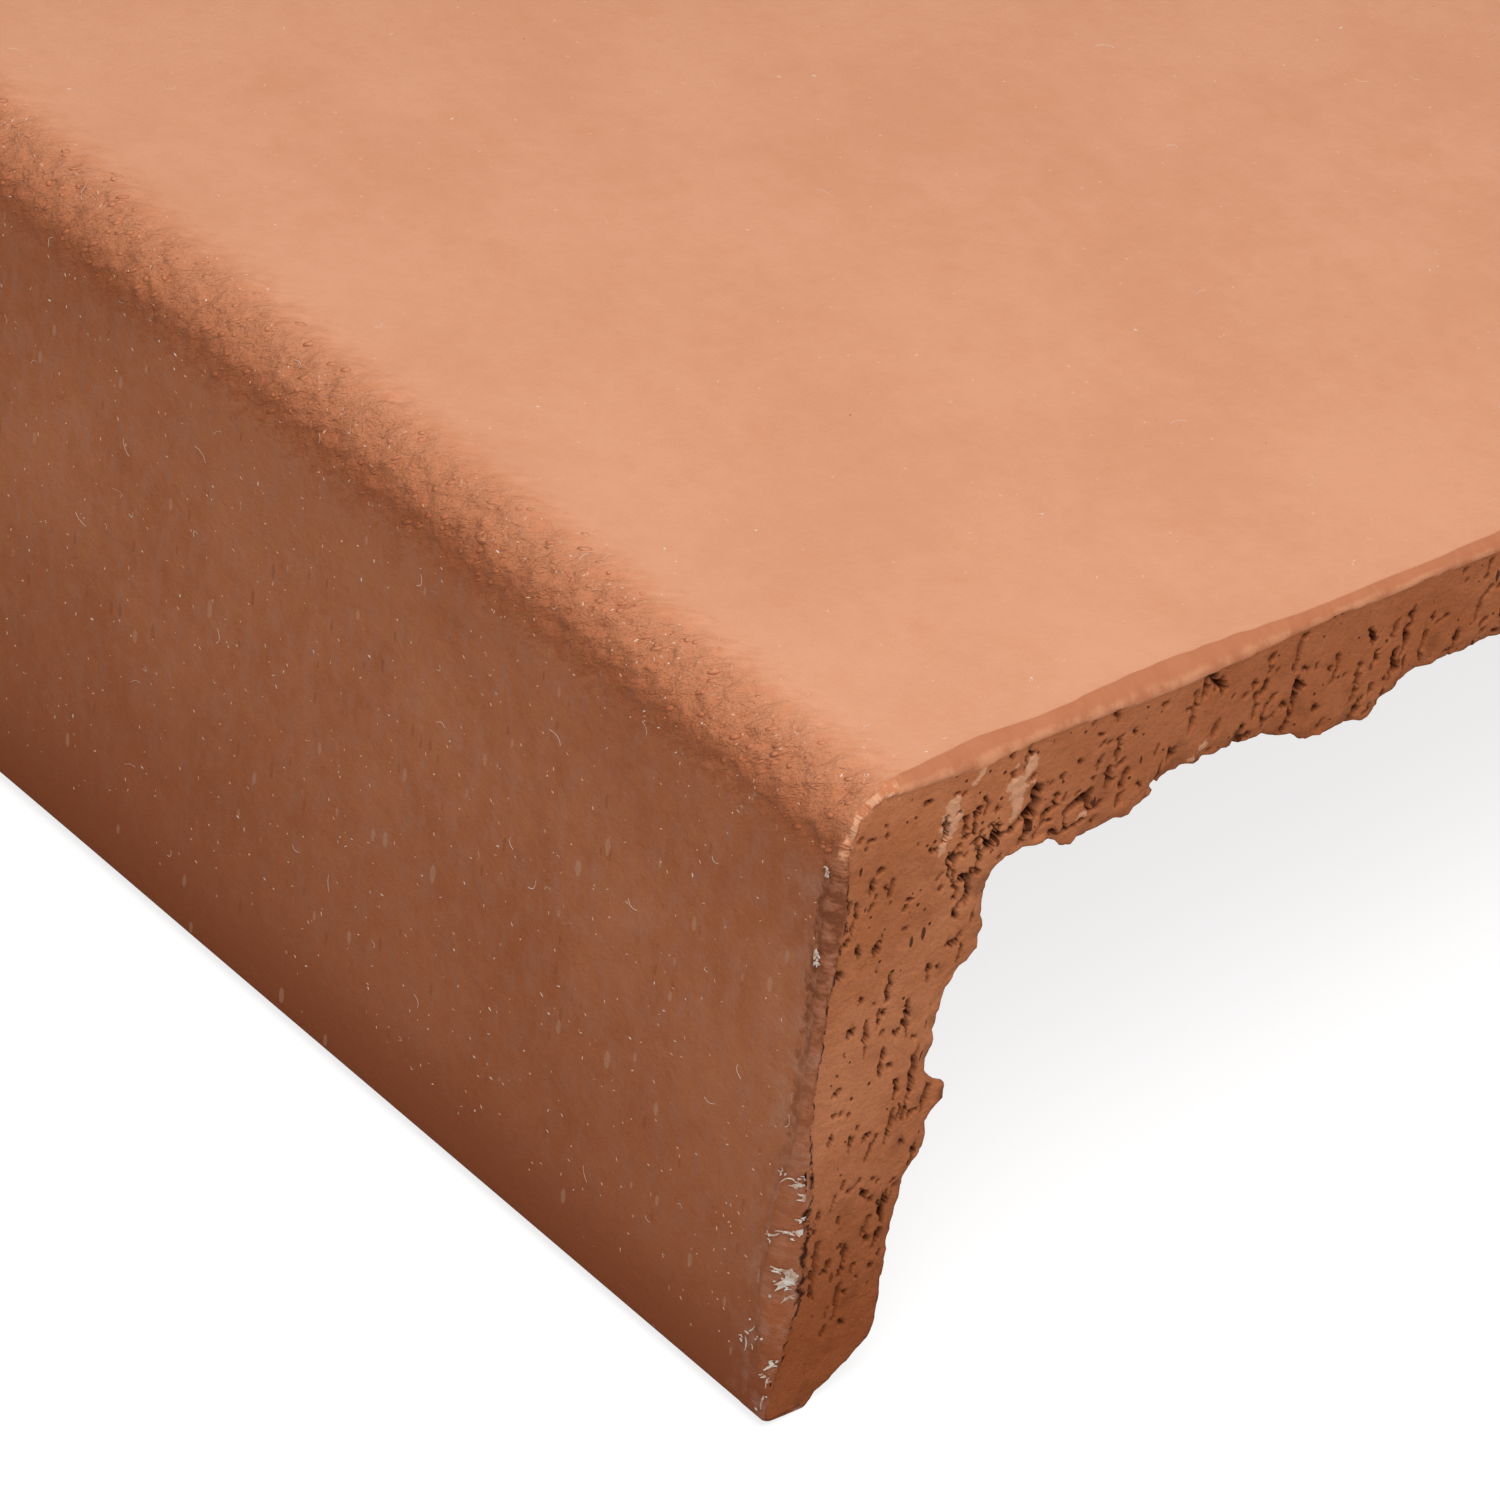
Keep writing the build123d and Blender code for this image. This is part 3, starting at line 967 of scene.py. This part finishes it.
TOP_PALE = (0.800, 0.378, 0.222, 1)
TOP_DARK = (0.745, 0.337, 0.191, 1)
TOP_WARM = (0.750, 0.315, 0.160, 1)
NOSE_WARM = (0.660, 0.238, 0.110, 1)
# Painted shade on the nose: between the clumps dragged over it and along its lower border.
NOSE_SHADE = (0.420, 0.115, 0.042, 1)
FRONT_PALE = (0.560, 0.200, 0.088, 1)
FRONT_DARK = (0.450, 0.142, 0.056, 1)
FRONT_WARM = (0.560, 0.180, 0.066, 1)
FRONT_BLOOM = (0.500, 0.235, 0.155, 1)
# FRONT_FOOT is painted shade towards the foot of the front face; it also darkens the front under the nose and
# colours the dark scars on the skin.
FRONT_FOOT = (0.300, 0.078, 0.026, 1)
BODY_FOOT = (0.330, 0.070, 0.012, 1)
LIP_PALE = (0.690, 0.292, 0.152, 1)
LIP_DARK = (0.530, 0.185, 0.088, 1)
ARRIS_PALE = (0.440, 0.160, 0.078, 1)
ARRIS_DARK = (0.250, 0.076, 0.032, 1)
BLOOM = (0.540, 0.350, 0.275, 1)
BODY_PALE = (0.740, 0.275, 0.122, 1)
BODY_DARK = (0.570, 0.185, 0.070, 1)
BODY_WARM = (0.740, 0.245, 0.088, 1)
# Painted shade: the dark colour of the pores, slits, pricks and dents of a cut end, and of the notches along
# the leg's arris.
PORE_SHADE = (0.060, 0.011, 0.002, 1)
CRUMB_PALE = (0.860, 0.430, 0.250, 1)
SPECK_PALE = (0.850, 0.560, 0.400, 1)
SPECK_DARK = (0.300, 0.120, 0.060, 1)
LIME_DUST = (0.86, 0.66, 0.52, 1)
CLAY_DUST = (0.84, 0.50, 0.35, 1)

# The floor as other rays meet it, as the camera sees it, and the light that it adds for the camera.
FLOOR_UNSEEN = (0.55, 0.55, 0.55, 1)
FLOOR_SEEN = (0.35, 0.35, 0.35, 1)
FLOOR_GLOW = 0.78


def fired_clay():
    """The tile's clay: pale top, darker front, rough nose, worn arrises and two torn cut ends."""
    material, m, shader = matt("fired clay", 0.15)

    def read(name):
        return m.node("ShaderNodeAttribute", {"attribute_name": name})

    laid = read("laid").outputs["Vector"]
    fields = ("skin", "band", "pore_shade", "pale", "edge", "from_nose")
    skin, band, pore_shade, crumb, edge, run = (read(name).outputs["Fac"] for name in fields)

    def use(tree, **inputs):
        return m.node("ShaderNodeGroup", {"node_tree": tree}, **inputs).outputs

    tone, clouds, warm_share = use(MOTTLING, Place=laid)

    def mottled(dark, pale, warm, warmth):
        return m.mix(m.times(warm_share, warmth), m.mix(tone, dark, pale), warm)

    laid_x, laid_u, laid_w = m.node("ShaderNodeSeparateXYZ", {}, Vector=laid).outputs
    with_drag = m.times(m.plus(laid_x, run), DRAG_WITH)
    over_drag = m.times(m.less(laid_x, run), DRAG_OVER)
    dragged = m.node("ShaderNodeCombineXYZ", {}, X=with_drag, Y=over_drag).outputs[0]

    # Noise that several layers share
    smudged = m.noise(dragged, 1.5, 4.0, 0.75)
    from_nose = m.plus(run, m.times(m.less(smudged, 0.5), 8.0))
    fretted = m.noise(laid, 0.9, 4.0, 0.75)
    crumbled = m.noise(laid, 2.2, 4.0, 0.8)

    # Long and small marks: wisps and scars on the skin, and on a cut end slits and pricks painted dark as
    # shade
    on_skin = m.math("GREATER_THAN", skin, 0.5)
    skin_place = m.node("ShaderNodeCombineXYZ", {}, X=laid_x, Y=run).outputs[0]
    cut_place = m.node("ShaderNodeCombineXYZ", {}, X=laid_u, Y=laid_w).outputs[0]

    def marked(skin_scale, cut_scale, **sizes):
        place = m.choose(on_skin, m.stretched(cut_place, cut_scale), m.stretched(skin_place, skin_scale))
        return use(SPECKS, Place=place, Ragged=crumbled, Scale=1.0, **sizes)["Speck"]

    tall_marks = marked((0.8, 0.32, 1.0), (1.1, 0.385, 1.0), Share=0.09, Size=0.26)
    small_marks = marked((1.1, 0.33, 1.0), (1.5, 1.5, 1.0), Share=0.10, Size=0.26)

    # The front face, with painted shade darkening it towards the foot, and darker under the nose
    streak = use(STREAKS, Place=laid)["Streak"]
    front = m.mix(m.times(streak, 0.30), mottled(FRONT_DARK, FRONT_PALE, FRONT_WARM, 0.5), FRONT_BLOOM)
    # Painted shade: the front face darkens towards the foot.
    foot_shade = m.plus(m.ramp(laid_w, -16.0, -46.0, 0.0, 0.48), m.ramp(laid_w, -40.0, -49.0, 0.0, 0.5))
    front = m.mix(m.plus(foot_shade, m.ramp(laid_w, -20.0, -7.0, 0.0, 0.18)), front, FRONT_FOOT)
    front = m.mix(m.times(tall_marks, 0.20), front, SPECK_PALE)
    front = m.mix(m.times(small_marks, 0.40), front, FRONT_FOOT)
    to_arris = m.less(NOSE_LENGTH / 2, laid_x)
    cloudy = m.ramp(clouds, 0.45, 0.70)
    hazy = m.times(m.ramp(to_arris, 6.0, 0.5), cloudy)
    front = m.mix(m.times(hazy, 0.32), front, BLOOM)

    # The nose, from the front face over to the top, with painted shade between its dragged clumps and along
    # its lower border
    warmed = m.mix(m.ramp(from_nose, -5.0, -1.0), front, NOSE_WARM)
    # Painted shade between the clumps dragged over the nose.
    marks = m.ramp(smudged, 0.42, 0.60)
    near_nose = m.times(m.ramp(from_nose, -7.0, -2.5), m.ramp(from_nose, 4.5, 1.0))
    warmed = m.mix(m.times(m.times(marks, near_nose), 0.62), warmed, NOSE_SHADE)
    # A painted shadow line along the nose's lower border, where it turns into the front face.
    border = m.times(m.ramp(from_nose, -5.6, -4.0), m.ramp(from_nose, -1.2, -2.8))
    warmed = m.mix(m.times(border, 0.40), warmed, NOSE_SHADE)
    skin_colour = m.mix(m.ramp(from_nose, -1.6, 2.0), warmed, mottled(TOP_DARK, TOP_PALE, TOP_WARM, 0.35))
    browned = m.times(m.ramp(from_nose, -3.0, -0.5), m.ramp(from_nose, 5.5, 1.5))
    skin_colour = m.mix(m.times(browned, 0.65), skin_colour, NOSE_WARM)
    pale, dark = use(SPECKS, Place=skin_place, Ragged=crumbled, Scale=0.9, Share=0.032, Size=0.14)
    skin_colour = m.mix(m.times(pale, 0.45), skin_colour, SPECK_PALE)
    skin_colour = m.mix(m.times(dark, 0.7), skin_colour, SPECK_DARK)

    # The arris at a cut end: a lip beside the top, a crumbly corner and a brown band beside the front
    smeared = m.ramp(m.noise(m.stretched(laid, (1.0, 0.25, 0.25)), 1.6, 3.0, 0.65), 0.35, 0.65)
    lip = m.mix(smeared, LIP_DARK, LIP_PALE)
    line = m.ramp(m.plus(edge, m.times(clouds, 0.5)), 0.85, 0.55)
    lip = m.mix(m.times(line, 0.75), lip, LIP_DARK)
    arris = m.mix(m.ramp(fretted, 0.42, 0.60), ARRIS_DARK, ARRIS_PALE)
    powder = m.ramp(fretted, 0.56, 0.72)
    arris = m.mix(m.times(powder, 0.3), arris, BLOOM)
    at_corner = m.mix(m.ramp(crumbled, 0.52, 0.66), NOSE_WARM, CRUMB_PALE)
    lip = m.mix(m.ramp(from_nose, 2.0, 4.5), at_corner, lip)
    blended = m.plus(m.ramp(run, -14.0, -20.0, 0.0, 0.4), m.ramp(run, -24.0, -31.0, 0.0, 0.45))
    arris = m.mix(blended, arris, front)
    band_colour = m.mix(m.ramp(from_nose, -5.0, -3.0), arris, lip)
    wavering = m.plus(to_arris, m.times(m.less(fretted, 0.5), 2.6))
    beside = m.times(m.ramp(wavering, 1.5, 0.8), m.ramp(run, -3.0, -5.0))
    skin_colour = m.mix(m.math("MAXIMUM", band, beside), skin_colour, band_colour)

    # The clay of a cut end, with its small pores and slits painted dark as shade, darker towards the foot and
    # away from the nose
    body = mottled(BODY_DARK, BODY_PALE, BODY_WARM, 0.5)
    body = m.mix(m.ramp(laid_u, 10.0, 24.0, 0.0, 0.42), body, BODY_FOOT)
    # Painted shade: the small slits and pricks of a cut end are coloured dark in place of the shadow in them.
    body = m.mix(m.times(m.math("MAXIMUM", small_marks, tall_marks), 0.85), body, PORE_SHADE)
    body = m.mix(m.ramp(laid_w, -24.0, -46.0, 0.0, 0.75), body, BODY_FOOT)
    colour = m.mix(skin, body, skin_colour)

    # Painted shade in notches along the arris of the leg and in the pores, and pale crumbs
    off_border = m.math("ABSOLUTE", m.less(edge, 1.08))
    # Painted shadow line: dark notches along the border of the leg's arris band.
    notch_shade = m.times(m.ramp(off_border, 0.30, 0.05), m.ramp(fretted, 0.46, 0.56))
    notch_shade = m.times(m.times(notch_shade, m.ramp(run, -2.5, -5.0)), m.ramp(laid_w, -47.0, -45.0))
    colour = m.mix(notch_shade, colour, PORE_SHADE)
    # Painted shade in the pores and dents, by their depth.
    colour = m.mix(pore_shade, colour, PORE_SHADE)
    broken = m.plus(crumb, m.times(m.less(crumbled, 0.57), 1.8))
    colour = m.mix(m.times(m.ramp(broken, 0.25, 0.75), 0.9), colour, CRUMB_PALE)
    by_border = m.math("ABSOLUTE", m.less(edge, 1.0))
    furred = m.times(m.ramp(by_border, 1.6, 0.3), m.ramp(crumbled, 0.50, 0.62))
    on_corner = m.ramp(m.math("ABSOLUTE", run), 4.5, 3.0)
    furred = m.times(furred, m.times(m.ramp(to_arris, 0.9, 0.5), on_corner))
    colour = m.mix(m.times(furred, 0.7), colour, CRUMB_PALE)
    m.join(colour, shader.inputs["Base Color"])

    # Relief
    on_nose = m.times(m.ramp(run, -7.0, -2.0), m.ramp(run, 4.5, 0.5))
    on_front = m.times(m.ramp(run, 0.0, -3.0), 0.45)
    rough = m.plus(on_front, m.less(1.0, skin))
    coarse = m.plus(0.08, m.times(rough, 0.35))
    flaky = m.times(m.times(on_nose, skin), 0.9)
    relief = use(GRAIN, Place=laid, Dragged=dragged, Coarse=coarse, Fine=0.042, Flaky=flaky)["Normal"]
    m.join(relief, shader.inputs["Normal"])
    return material


def dust_paint(name, colour):
    """Matt pale dust, lime or clay."""
    material, _, shader = matt(name, 0.2)
    shader.inputs["Base Color"].default_value = colour
    return material


def floor_paint():
    """Pale matt floor that reads white to the camera and keeps the tile's shadow."""
    material, m, shader = matt("pale floor", 0.0)
    path = m.node("ShaderNodeLightPath")
    seen = m.math("MAXIMUM", path.outputs["Is Camera Ray"], path.outputs["Is Glossy Ray"])
    m.join(m.mix(seen, FLOOR_UNSEEN, FLOOR_SEEN), shader.inputs["Base Color"])
    shader.inputs["Emission Color"].default_value = (1, 1, 1, 1)
    m.join(m.times(seen, FLOOR_GLOW), shader.inputs["Emission Strength"])
    return material


# Dust and fibres

class Shapes(Maker):
    """Adds geometry nodes to a tree whose inputs are named sizes."""

    def __init__(self, name, inputs):
        super().__init__(bpy.data.node_groups.new(name, "GeometryNodeTree"))
        self.tree.interface.new_socket("Geometry", in_out="INPUT", socket_type="NodeSocketGeometry")
        for label, kind in inputs:
            self.tree.interface.new_socket(label, in_out="INPUT", socket_type=kind)
        self.tree.interface.new_socket("Geometry", in_out="OUTPUT", socket_type="NodeSocketGeometry")
        self.given = self.tree.nodes.new("NodeGroupInput").outputs
        self.out = self.tree.nodes.new("NodeGroupOutput").inputs[0]

    def random(self, low, high, seed, kind="FLOAT"):
        made = self.node("FunctionNodeRandomValue", {"data_type": kind}, Seed=seed)
        ends = (0, 1) if kind == "FLOAT_VECTOR" else (2, 3)
        made.inputs[ends[0]].default_value, made.inputs[ends[1]].default_value = low, high
        return made.outputs[0 if kind == "FLOAT_VECTOR" else 1]

    def scattered(self, shape, low, high, spread, drag=None):
        """shape on random points of the surface, turned at random about its normal, or all along one drag."""
        surface = self.node("GeometryNodeObjectInfo", {}, i0=self.given["Surface"]).outputs["Geometry"]
        density = self.node("GeometryNodeInputNamedAttribute", {"data_type": "FLOAT"}, Name=spread).outputs[0]
        density = self.times(density, self.given["Density"])
        seed, paint = self.given["Seed"], self.given["Material"]
        points = self.node(
            "GeometryNodeDistributePointsOnFaces", {}, Mesh=surface, Density=density, Seed=seed)
        upright = points.outputs["Rotation"]
        if drag:
            held = {"axis": "X", "pivot_axis": "Z"}
            turned = self.node("FunctionNodeAlignRotationToVector", held, Rotation=upright, Vector=drag)
        else:
            spin = self.node("ShaderNodeCombineXYZ", {}, Z=self.random(0.0, 6.283, 5))
            local = {"rotation_space": "LOCAL"}
            turned = self.node("FunctionNodeRotateRotation", local, i0=upright, i1=spin.outputs[0])
        placed = self.node(
            "GeometryNodeInstanceOnPoints", {}, Points=points.outputs["Points"], Instance=shape,
            Rotation=turned.outputs[0], Scale=self.random(low, high, 7, "FLOAT_VECTOR"))
        real = self.node("GeometryNodeRealizeInstances", {}, i0=placed.outputs[0])
        painted = self.node("GeometryNodeSetMaterial", {}, Geometry=real.outputs[0], Material=paint)
        self.join(painted.outputs[0], self.out)


SCATTER_INPUTS = (
    ("Surface", "NodeSocketObject"), ("Density", FLOAT), ("Seed", "NodeSocketInt"), ("Size", FLOAT),
    ("Material", "NodeSocketMaterial"),
)


def speck_tree():
    """Grains of dust, each stretched its own way."""
    shapes = Shapes("dust specks", SCATTER_INPUTS)
    grain = shapes.node("GeometryNodeMeshIcoSphere", {}, Radius=shapes.given["Size"], Subdivisions=1)
    shapes.scattered(grain.outputs[0], (0.4, 0.3, 0.2), (2.4, 0.9, 0.4), "dusty")
    return shapes.tree


def flake_tree():
    """Small flat flakes of clay, all dragged one way over the nose."""
    shapes = Shapes("dragged flakes", SCATTER_INPUTS)
    flake = shapes.node("GeometryNodeMeshIcoSphere", {}, Radius=shapes.given["Size"], Subdivisions=1)
    smooth_flake = shapes.node("GeometryNodeSetShadeSmooth", {}, Geometry=flake.outputs[0])
    shapes.scattered(smooth_flake.outputs[0], (0.7, 0.4, 0.10), (2.6, 1.0, 0.30), "flaked", (1.0, 0.75, 0.65))
    return shapes.tree


def fibre_tree():
    """Short bent threads."""
    shapes = Shapes("fibres", SCATTER_INPUTS)
    half = shapes.node("ShaderNodeCombineXYZ", {}, X=shapes.given["Size"])
    back = shapes.node("ShaderNodeVectorMath", {"operation": "SCALE"}, i0=half.outputs[0], Scale=-1.0)
    aside = shapes.times(shapes.given["Size"], 0.3)
    rise = shapes.node("ShaderNodeCombineXYZ", {}, X=aside, Y=shapes.given["Size"])
    bow = shapes.node(
        "GeometryNodeCurveQuadraticBezier", {}, Resolution=6, Start=back.outputs[0],
        Middle=rise.outputs[0], End=half.outputs[0])
    thick = shapes.times(shapes.given["Size"], 0.055)
    profile = shapes.node("GeometryNodeCurvePrimitiveCircle", {}, Resolution=3, Radius=thick)
    thread = shapes.node("GeometryNodeCurveToMesh", {}, Curve=bow.outputs[0], i1=profile.outputs[0])
    thread.inputs["Fill Caps"].default_value = True
    shapes.scattered(thread.outputs[0], (0.25, 0.1, 0.5), (1.4, 1.3, 1.0), "dusty")
    return shapes.tree


def keep_inside(mesh):
    """Holds every point of a mesh inside the tile's own box."""
    points = np.empty(len(mesh.vertices) * 3, np.float32)
    mesh.vertices.foreach_get("co", points)
    low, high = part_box("stair_tread_tile")
    inside = np.clip(points.reshape(-1, 3), np.array(low) + RECESS * MM / 2, np.array(high) - RECESS * MM / 2)
    mesh.vertices.foreach_set("co", inside.astype(np.float32).ravel())
    mesh.update()


def grown(name, tree, **values):
    """A plain mesh made by a geometry node tree with these inputs."""
    maker = put(name + "_maker", bpy.data.meshes.new(name + "_maker"))
    modifier = maker.modifiers.new("grow", "NODES")
    modifier.node_group = tree
    for item in tree.interface.items_tree:
        if item.in_out == "INPUT" and item.name in values:
            modifier[item.identifier] = values[item.name]
    done = maker.evaluated_get(bpy.context.evaluated_depsgraph_get())
    mesh = bpy.data.meshes.new_from_object(done)
    maker.modifiers.clear()
    bpy.data.objects.remove(maker)
    mesh.name = name
    keep_inside(mesh)
    print(name + ":", len(mesh.polygons), "faces")
    return put(name, mesh)


# White lime flakes on the arris of the leg: (in from the cut end, down from the top, length, width,
# turn in degrees). Each has a few scraps about it.
FLAKES = (
    (0.00, 38.0, 1.7, 0.75, 80), (0.25, 38.7, 1.1, 0.40, 35), (0.60, 37.5, 0.9, 0.20, -20),
    (0.10, 39.8, 1.0, 0.16, 60), (-0.30, 29.6, 0.9, 0.25, 60), (0.05, 30.4, 0.9, 0.35, 10),
    (-0.20, 31.3, 0.7, 0.24, -50), (0.50, 29.9, 0.9, 0.12, 15), (1.10, 34.9, 1.5, 0.16, 30),
    (0.40, 34.4, 1.0, 0.20, -15), (-0.10, 34.3, 0.7, 0.32, 70), (-0.25, 33.2, 0.5, 0.20, 20),
    (0.00, 45.0, 0.9, 0.28, 80), (0.00, 46.2, 0.8, 0.10, 85), (0.00, 47.8, 1.5, 0.09, 88),
    (1.7, 43.0, 1.4, 0.10, 60), (2.1, 44.4, 1.2, 0.09, -80), (0.8, 12.2, 0.9, 0.45, 75),
    (0.6, 12.9, 0.6, 0.28, 10), (0.9, 6.0, 0.8, 0.26, 65),
)
SCRAPS = 4
FLAKE_THICKNESS = 0.05
LIME_WHITE = (0.760, 0.680, 0.600, 1)
LIME_THIN = (0.560, 0.330, 0.220, 1)


def lime_paint():
    """White lime, thin enough in places to let the clay show through."""
    material, m, shader = matt("white lime", 0.2)
    at = m.node("ShaderNodeTexCoord", {}).outputs["Object"]
    place = m.node("ShaderNodeVectorMath", {"operation": "SCALE"}, i0=at, Scale=1 / MM).outputs[0]
    thin = m.ramp(m.noise(place, 1.3, 5.0, 0.75), 0.44, 0.60)
    m.join(m.mix(thin, LIME_WHITE, LIME_THIN), shader.inputs["Base Color"])
    return material


def lime_flakes():
    """Thin bent flakes with ragged outlines, as one mesh of closed plates."""
    rng = np.random.default_rng(SEED + 5)
    points, faces = [], []
    rows = list(FLAKES)
    for inward, down, length, width, turn in FLAKES:
        for _ in range(SCRAPS):
            away, aside = rng.normal(0, 0.35, 2) * length
            size = rng.uniform((0.15, 0.08), (0.45, 0.20))
            rows.append((inward + away, down + aside, *size, rng.uniform(-90, 90)))
    for inward, down, length, width, turn in rows:
        s, c = math.sin(math.radians(turn)), math.cos(math.radians(turn))
        count = 9 if width > 0.17 else 12
        bend, curl = length * rng.uniform(-0.35, 0.35), rng.uniform(0.15, 0.5) * length
        start = len(points)
        for thick in (0, FLAKE_THICKNESS):
            for n in range(count):
                angle = 2 * math.pi * n / count
                if thick == 0:
                    reach = rng.uniform(0.5, 1.15)
                    shape = (length / 2 * math.cos(angle) * reach, width / 2 * math.sin(angle) * reach)
                else:
                    shape = points[start + n][3:]
                share = 2 * shape[0] / length
                along, over = shape[0], shape[1] + bend * share**2
                deep = max(RECESS, 0.25 + inward - along * c + over * s)
                drop = down - along * s - over * c
                station = np.searchsorted(-FROM_NOSE, drop - 0.97)
                front = worn(deep, arris_width(np.array([min(station, CHAIN)]), 1)[0])
                lift = front + 0.04 - curl * share**2 * 0.6 - thick
                points.append((NOSE_LENGTH / 2 - deep, lift, -drop, *shape))
        faces.append([start + count - 1 - n for n in range(count)])
        faces.append([start + count + n for n in range(count)])
        for n in range(count):
            after = (n + 1) % count
            faces.append((start + n, start + after, start + count + after, start + count + n))
    mesh = bpy.data.meshes.new("lime_flakes")
    mesh.from_pydata(to_frame([point[:3] for point in points]).tolist(), [], faces)
    keep_inside(mesh)
    mesh.materials.append(lime_paint())
    return put("lime_flakes", mesh)


# Floor, light and camera

LAMP_PLACE = (0.32, -0.20, 0.46)
LAMP_AIM = (0.15, -0.15, 0.04)
LAMP_WIDTH = 0.36
LAMP_WATTS = 1.45
STUDIO_STRENGTH = 0.46


def add_floor():
    mesh = bpy.data.meshes.new("floor")
    reach = 8.0
    corners = [(-reach, -reach, 0), (reach, -reach, 0), (reach, reach, 0), (-reach, reach, 0)]
    mesh.from_pydata(corners, [], [(0, 1, 2, 3)])
    mesh.materials.append(floor_paint())
    put("floor", mesh)


def add_lamp(name, place, aim, size, power):
    data = bpy.data.lights.new(name, "AREA")
    data.shape, data.size, data.energy = "DISK", size, power
    lamp = put(name, data)
    lamp.location = place
    lamp.rotation_euler = (Vector(aim) - Vector(place)).to_track_quat("-Z", "Y").to_euler()


def add_light():
    add_lamp("overhead softbox", LAMP_PLACE, LAMP_AIM, LAMP_WIDTH, LAMP_WATTS)
    world = bpy.data.worlds.new("studio")
    world.use_nodes = True
    world.node_tree.nodes["Background"].inputs[0].default_value = (1, 1, 1, 1)
    world.node_tree.nodes["Background"].inputs[1].default_value = STUDIO_STRENGTH
    bpy.context.scene.world = world


# The camera's place and aim from the right cut end's nose corner, (x, u, w) in millimetres.
CAMERA_PLACE = (321.15, -324.26, 323.19)
CAMERA_FORWARD = (-0.5843, 0.5733, -0.5744)
CAMERA_RIGHT = (0.6388, 0.7615, 0.1103)
CAMERA_LENS = 218.64


def add_camera():
    corner = Vector((NOSE_LENGTH / 2, 0, 0))
    place = Vector(to_frame([corner + Vector(CAMERA_PLACE)])[0])
    turn = Matrix.Rotation(-TILT, 3, "X")
    forward = (turn @ Vector(CAMERA_FORWARD)).normalized()
    right = turn @ Vector(CAMERA_RIGHT)
    right = (right - forward * right.dot(forward)).normalized()
    up = right.cross(forward)
    data = bpy.data.cameras.new("camera")
    data.lens, data.sensor_width = CAMERA_LENS, 36.0
    data.clip_start, data.clip_end = 0.01, 30.0
    camera = put("camera", data)
    camera.matrix_world = Matrix.Translation(place) @ Matrix((right, up, -forward)).transposed().to_4x4()
    bpy.context.scene.camera = camera


# The pieces

clay = fired_clay()
tile = fired_tile()
tile.data.materials.append(clay)
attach(tile, "root")
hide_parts("stair_tread_tile")

# Dust on the tile: (piece, its shapes, how many for each square millimetre, seed, size in mm, paint).
PER_AREA = 1e6
lime = dust_paint("lime dust", LIME_DUST)
clay_dust = dust_paint("pale clay dust", CLAY_DUST)
dust = (
    ("clay_specks", speck_tree, 0.30, 3, 0.08, clay_dust),
    ("lime_specks", speck_tree, 0.06, 4, 0.09, lime),
    ("lime_fibres", fibre_tree, 0.035, 8, 0.5, lime),
    ("nose_flakes", flake_tree, 0.4, 9, 0.24, clay),
)
for name, tree, density, seed, size, paint in dust:
    sizes = {"Density": density * PER_AREA, "Seed": seed, "Size": size * MM}
    grown(name, tree(), Surface=tile, Material=paint, **sizes)
lime_flakes()
for name in ("clay_specks", "lime_specks", "lime_fibres", "nose_flakes", "lime_flakes"):
    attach(bpy.data.objects[name], "root")

add_floor()
add_light()
add_camera()
bpy.context.scene.view_settings.view_transform = "Standard"
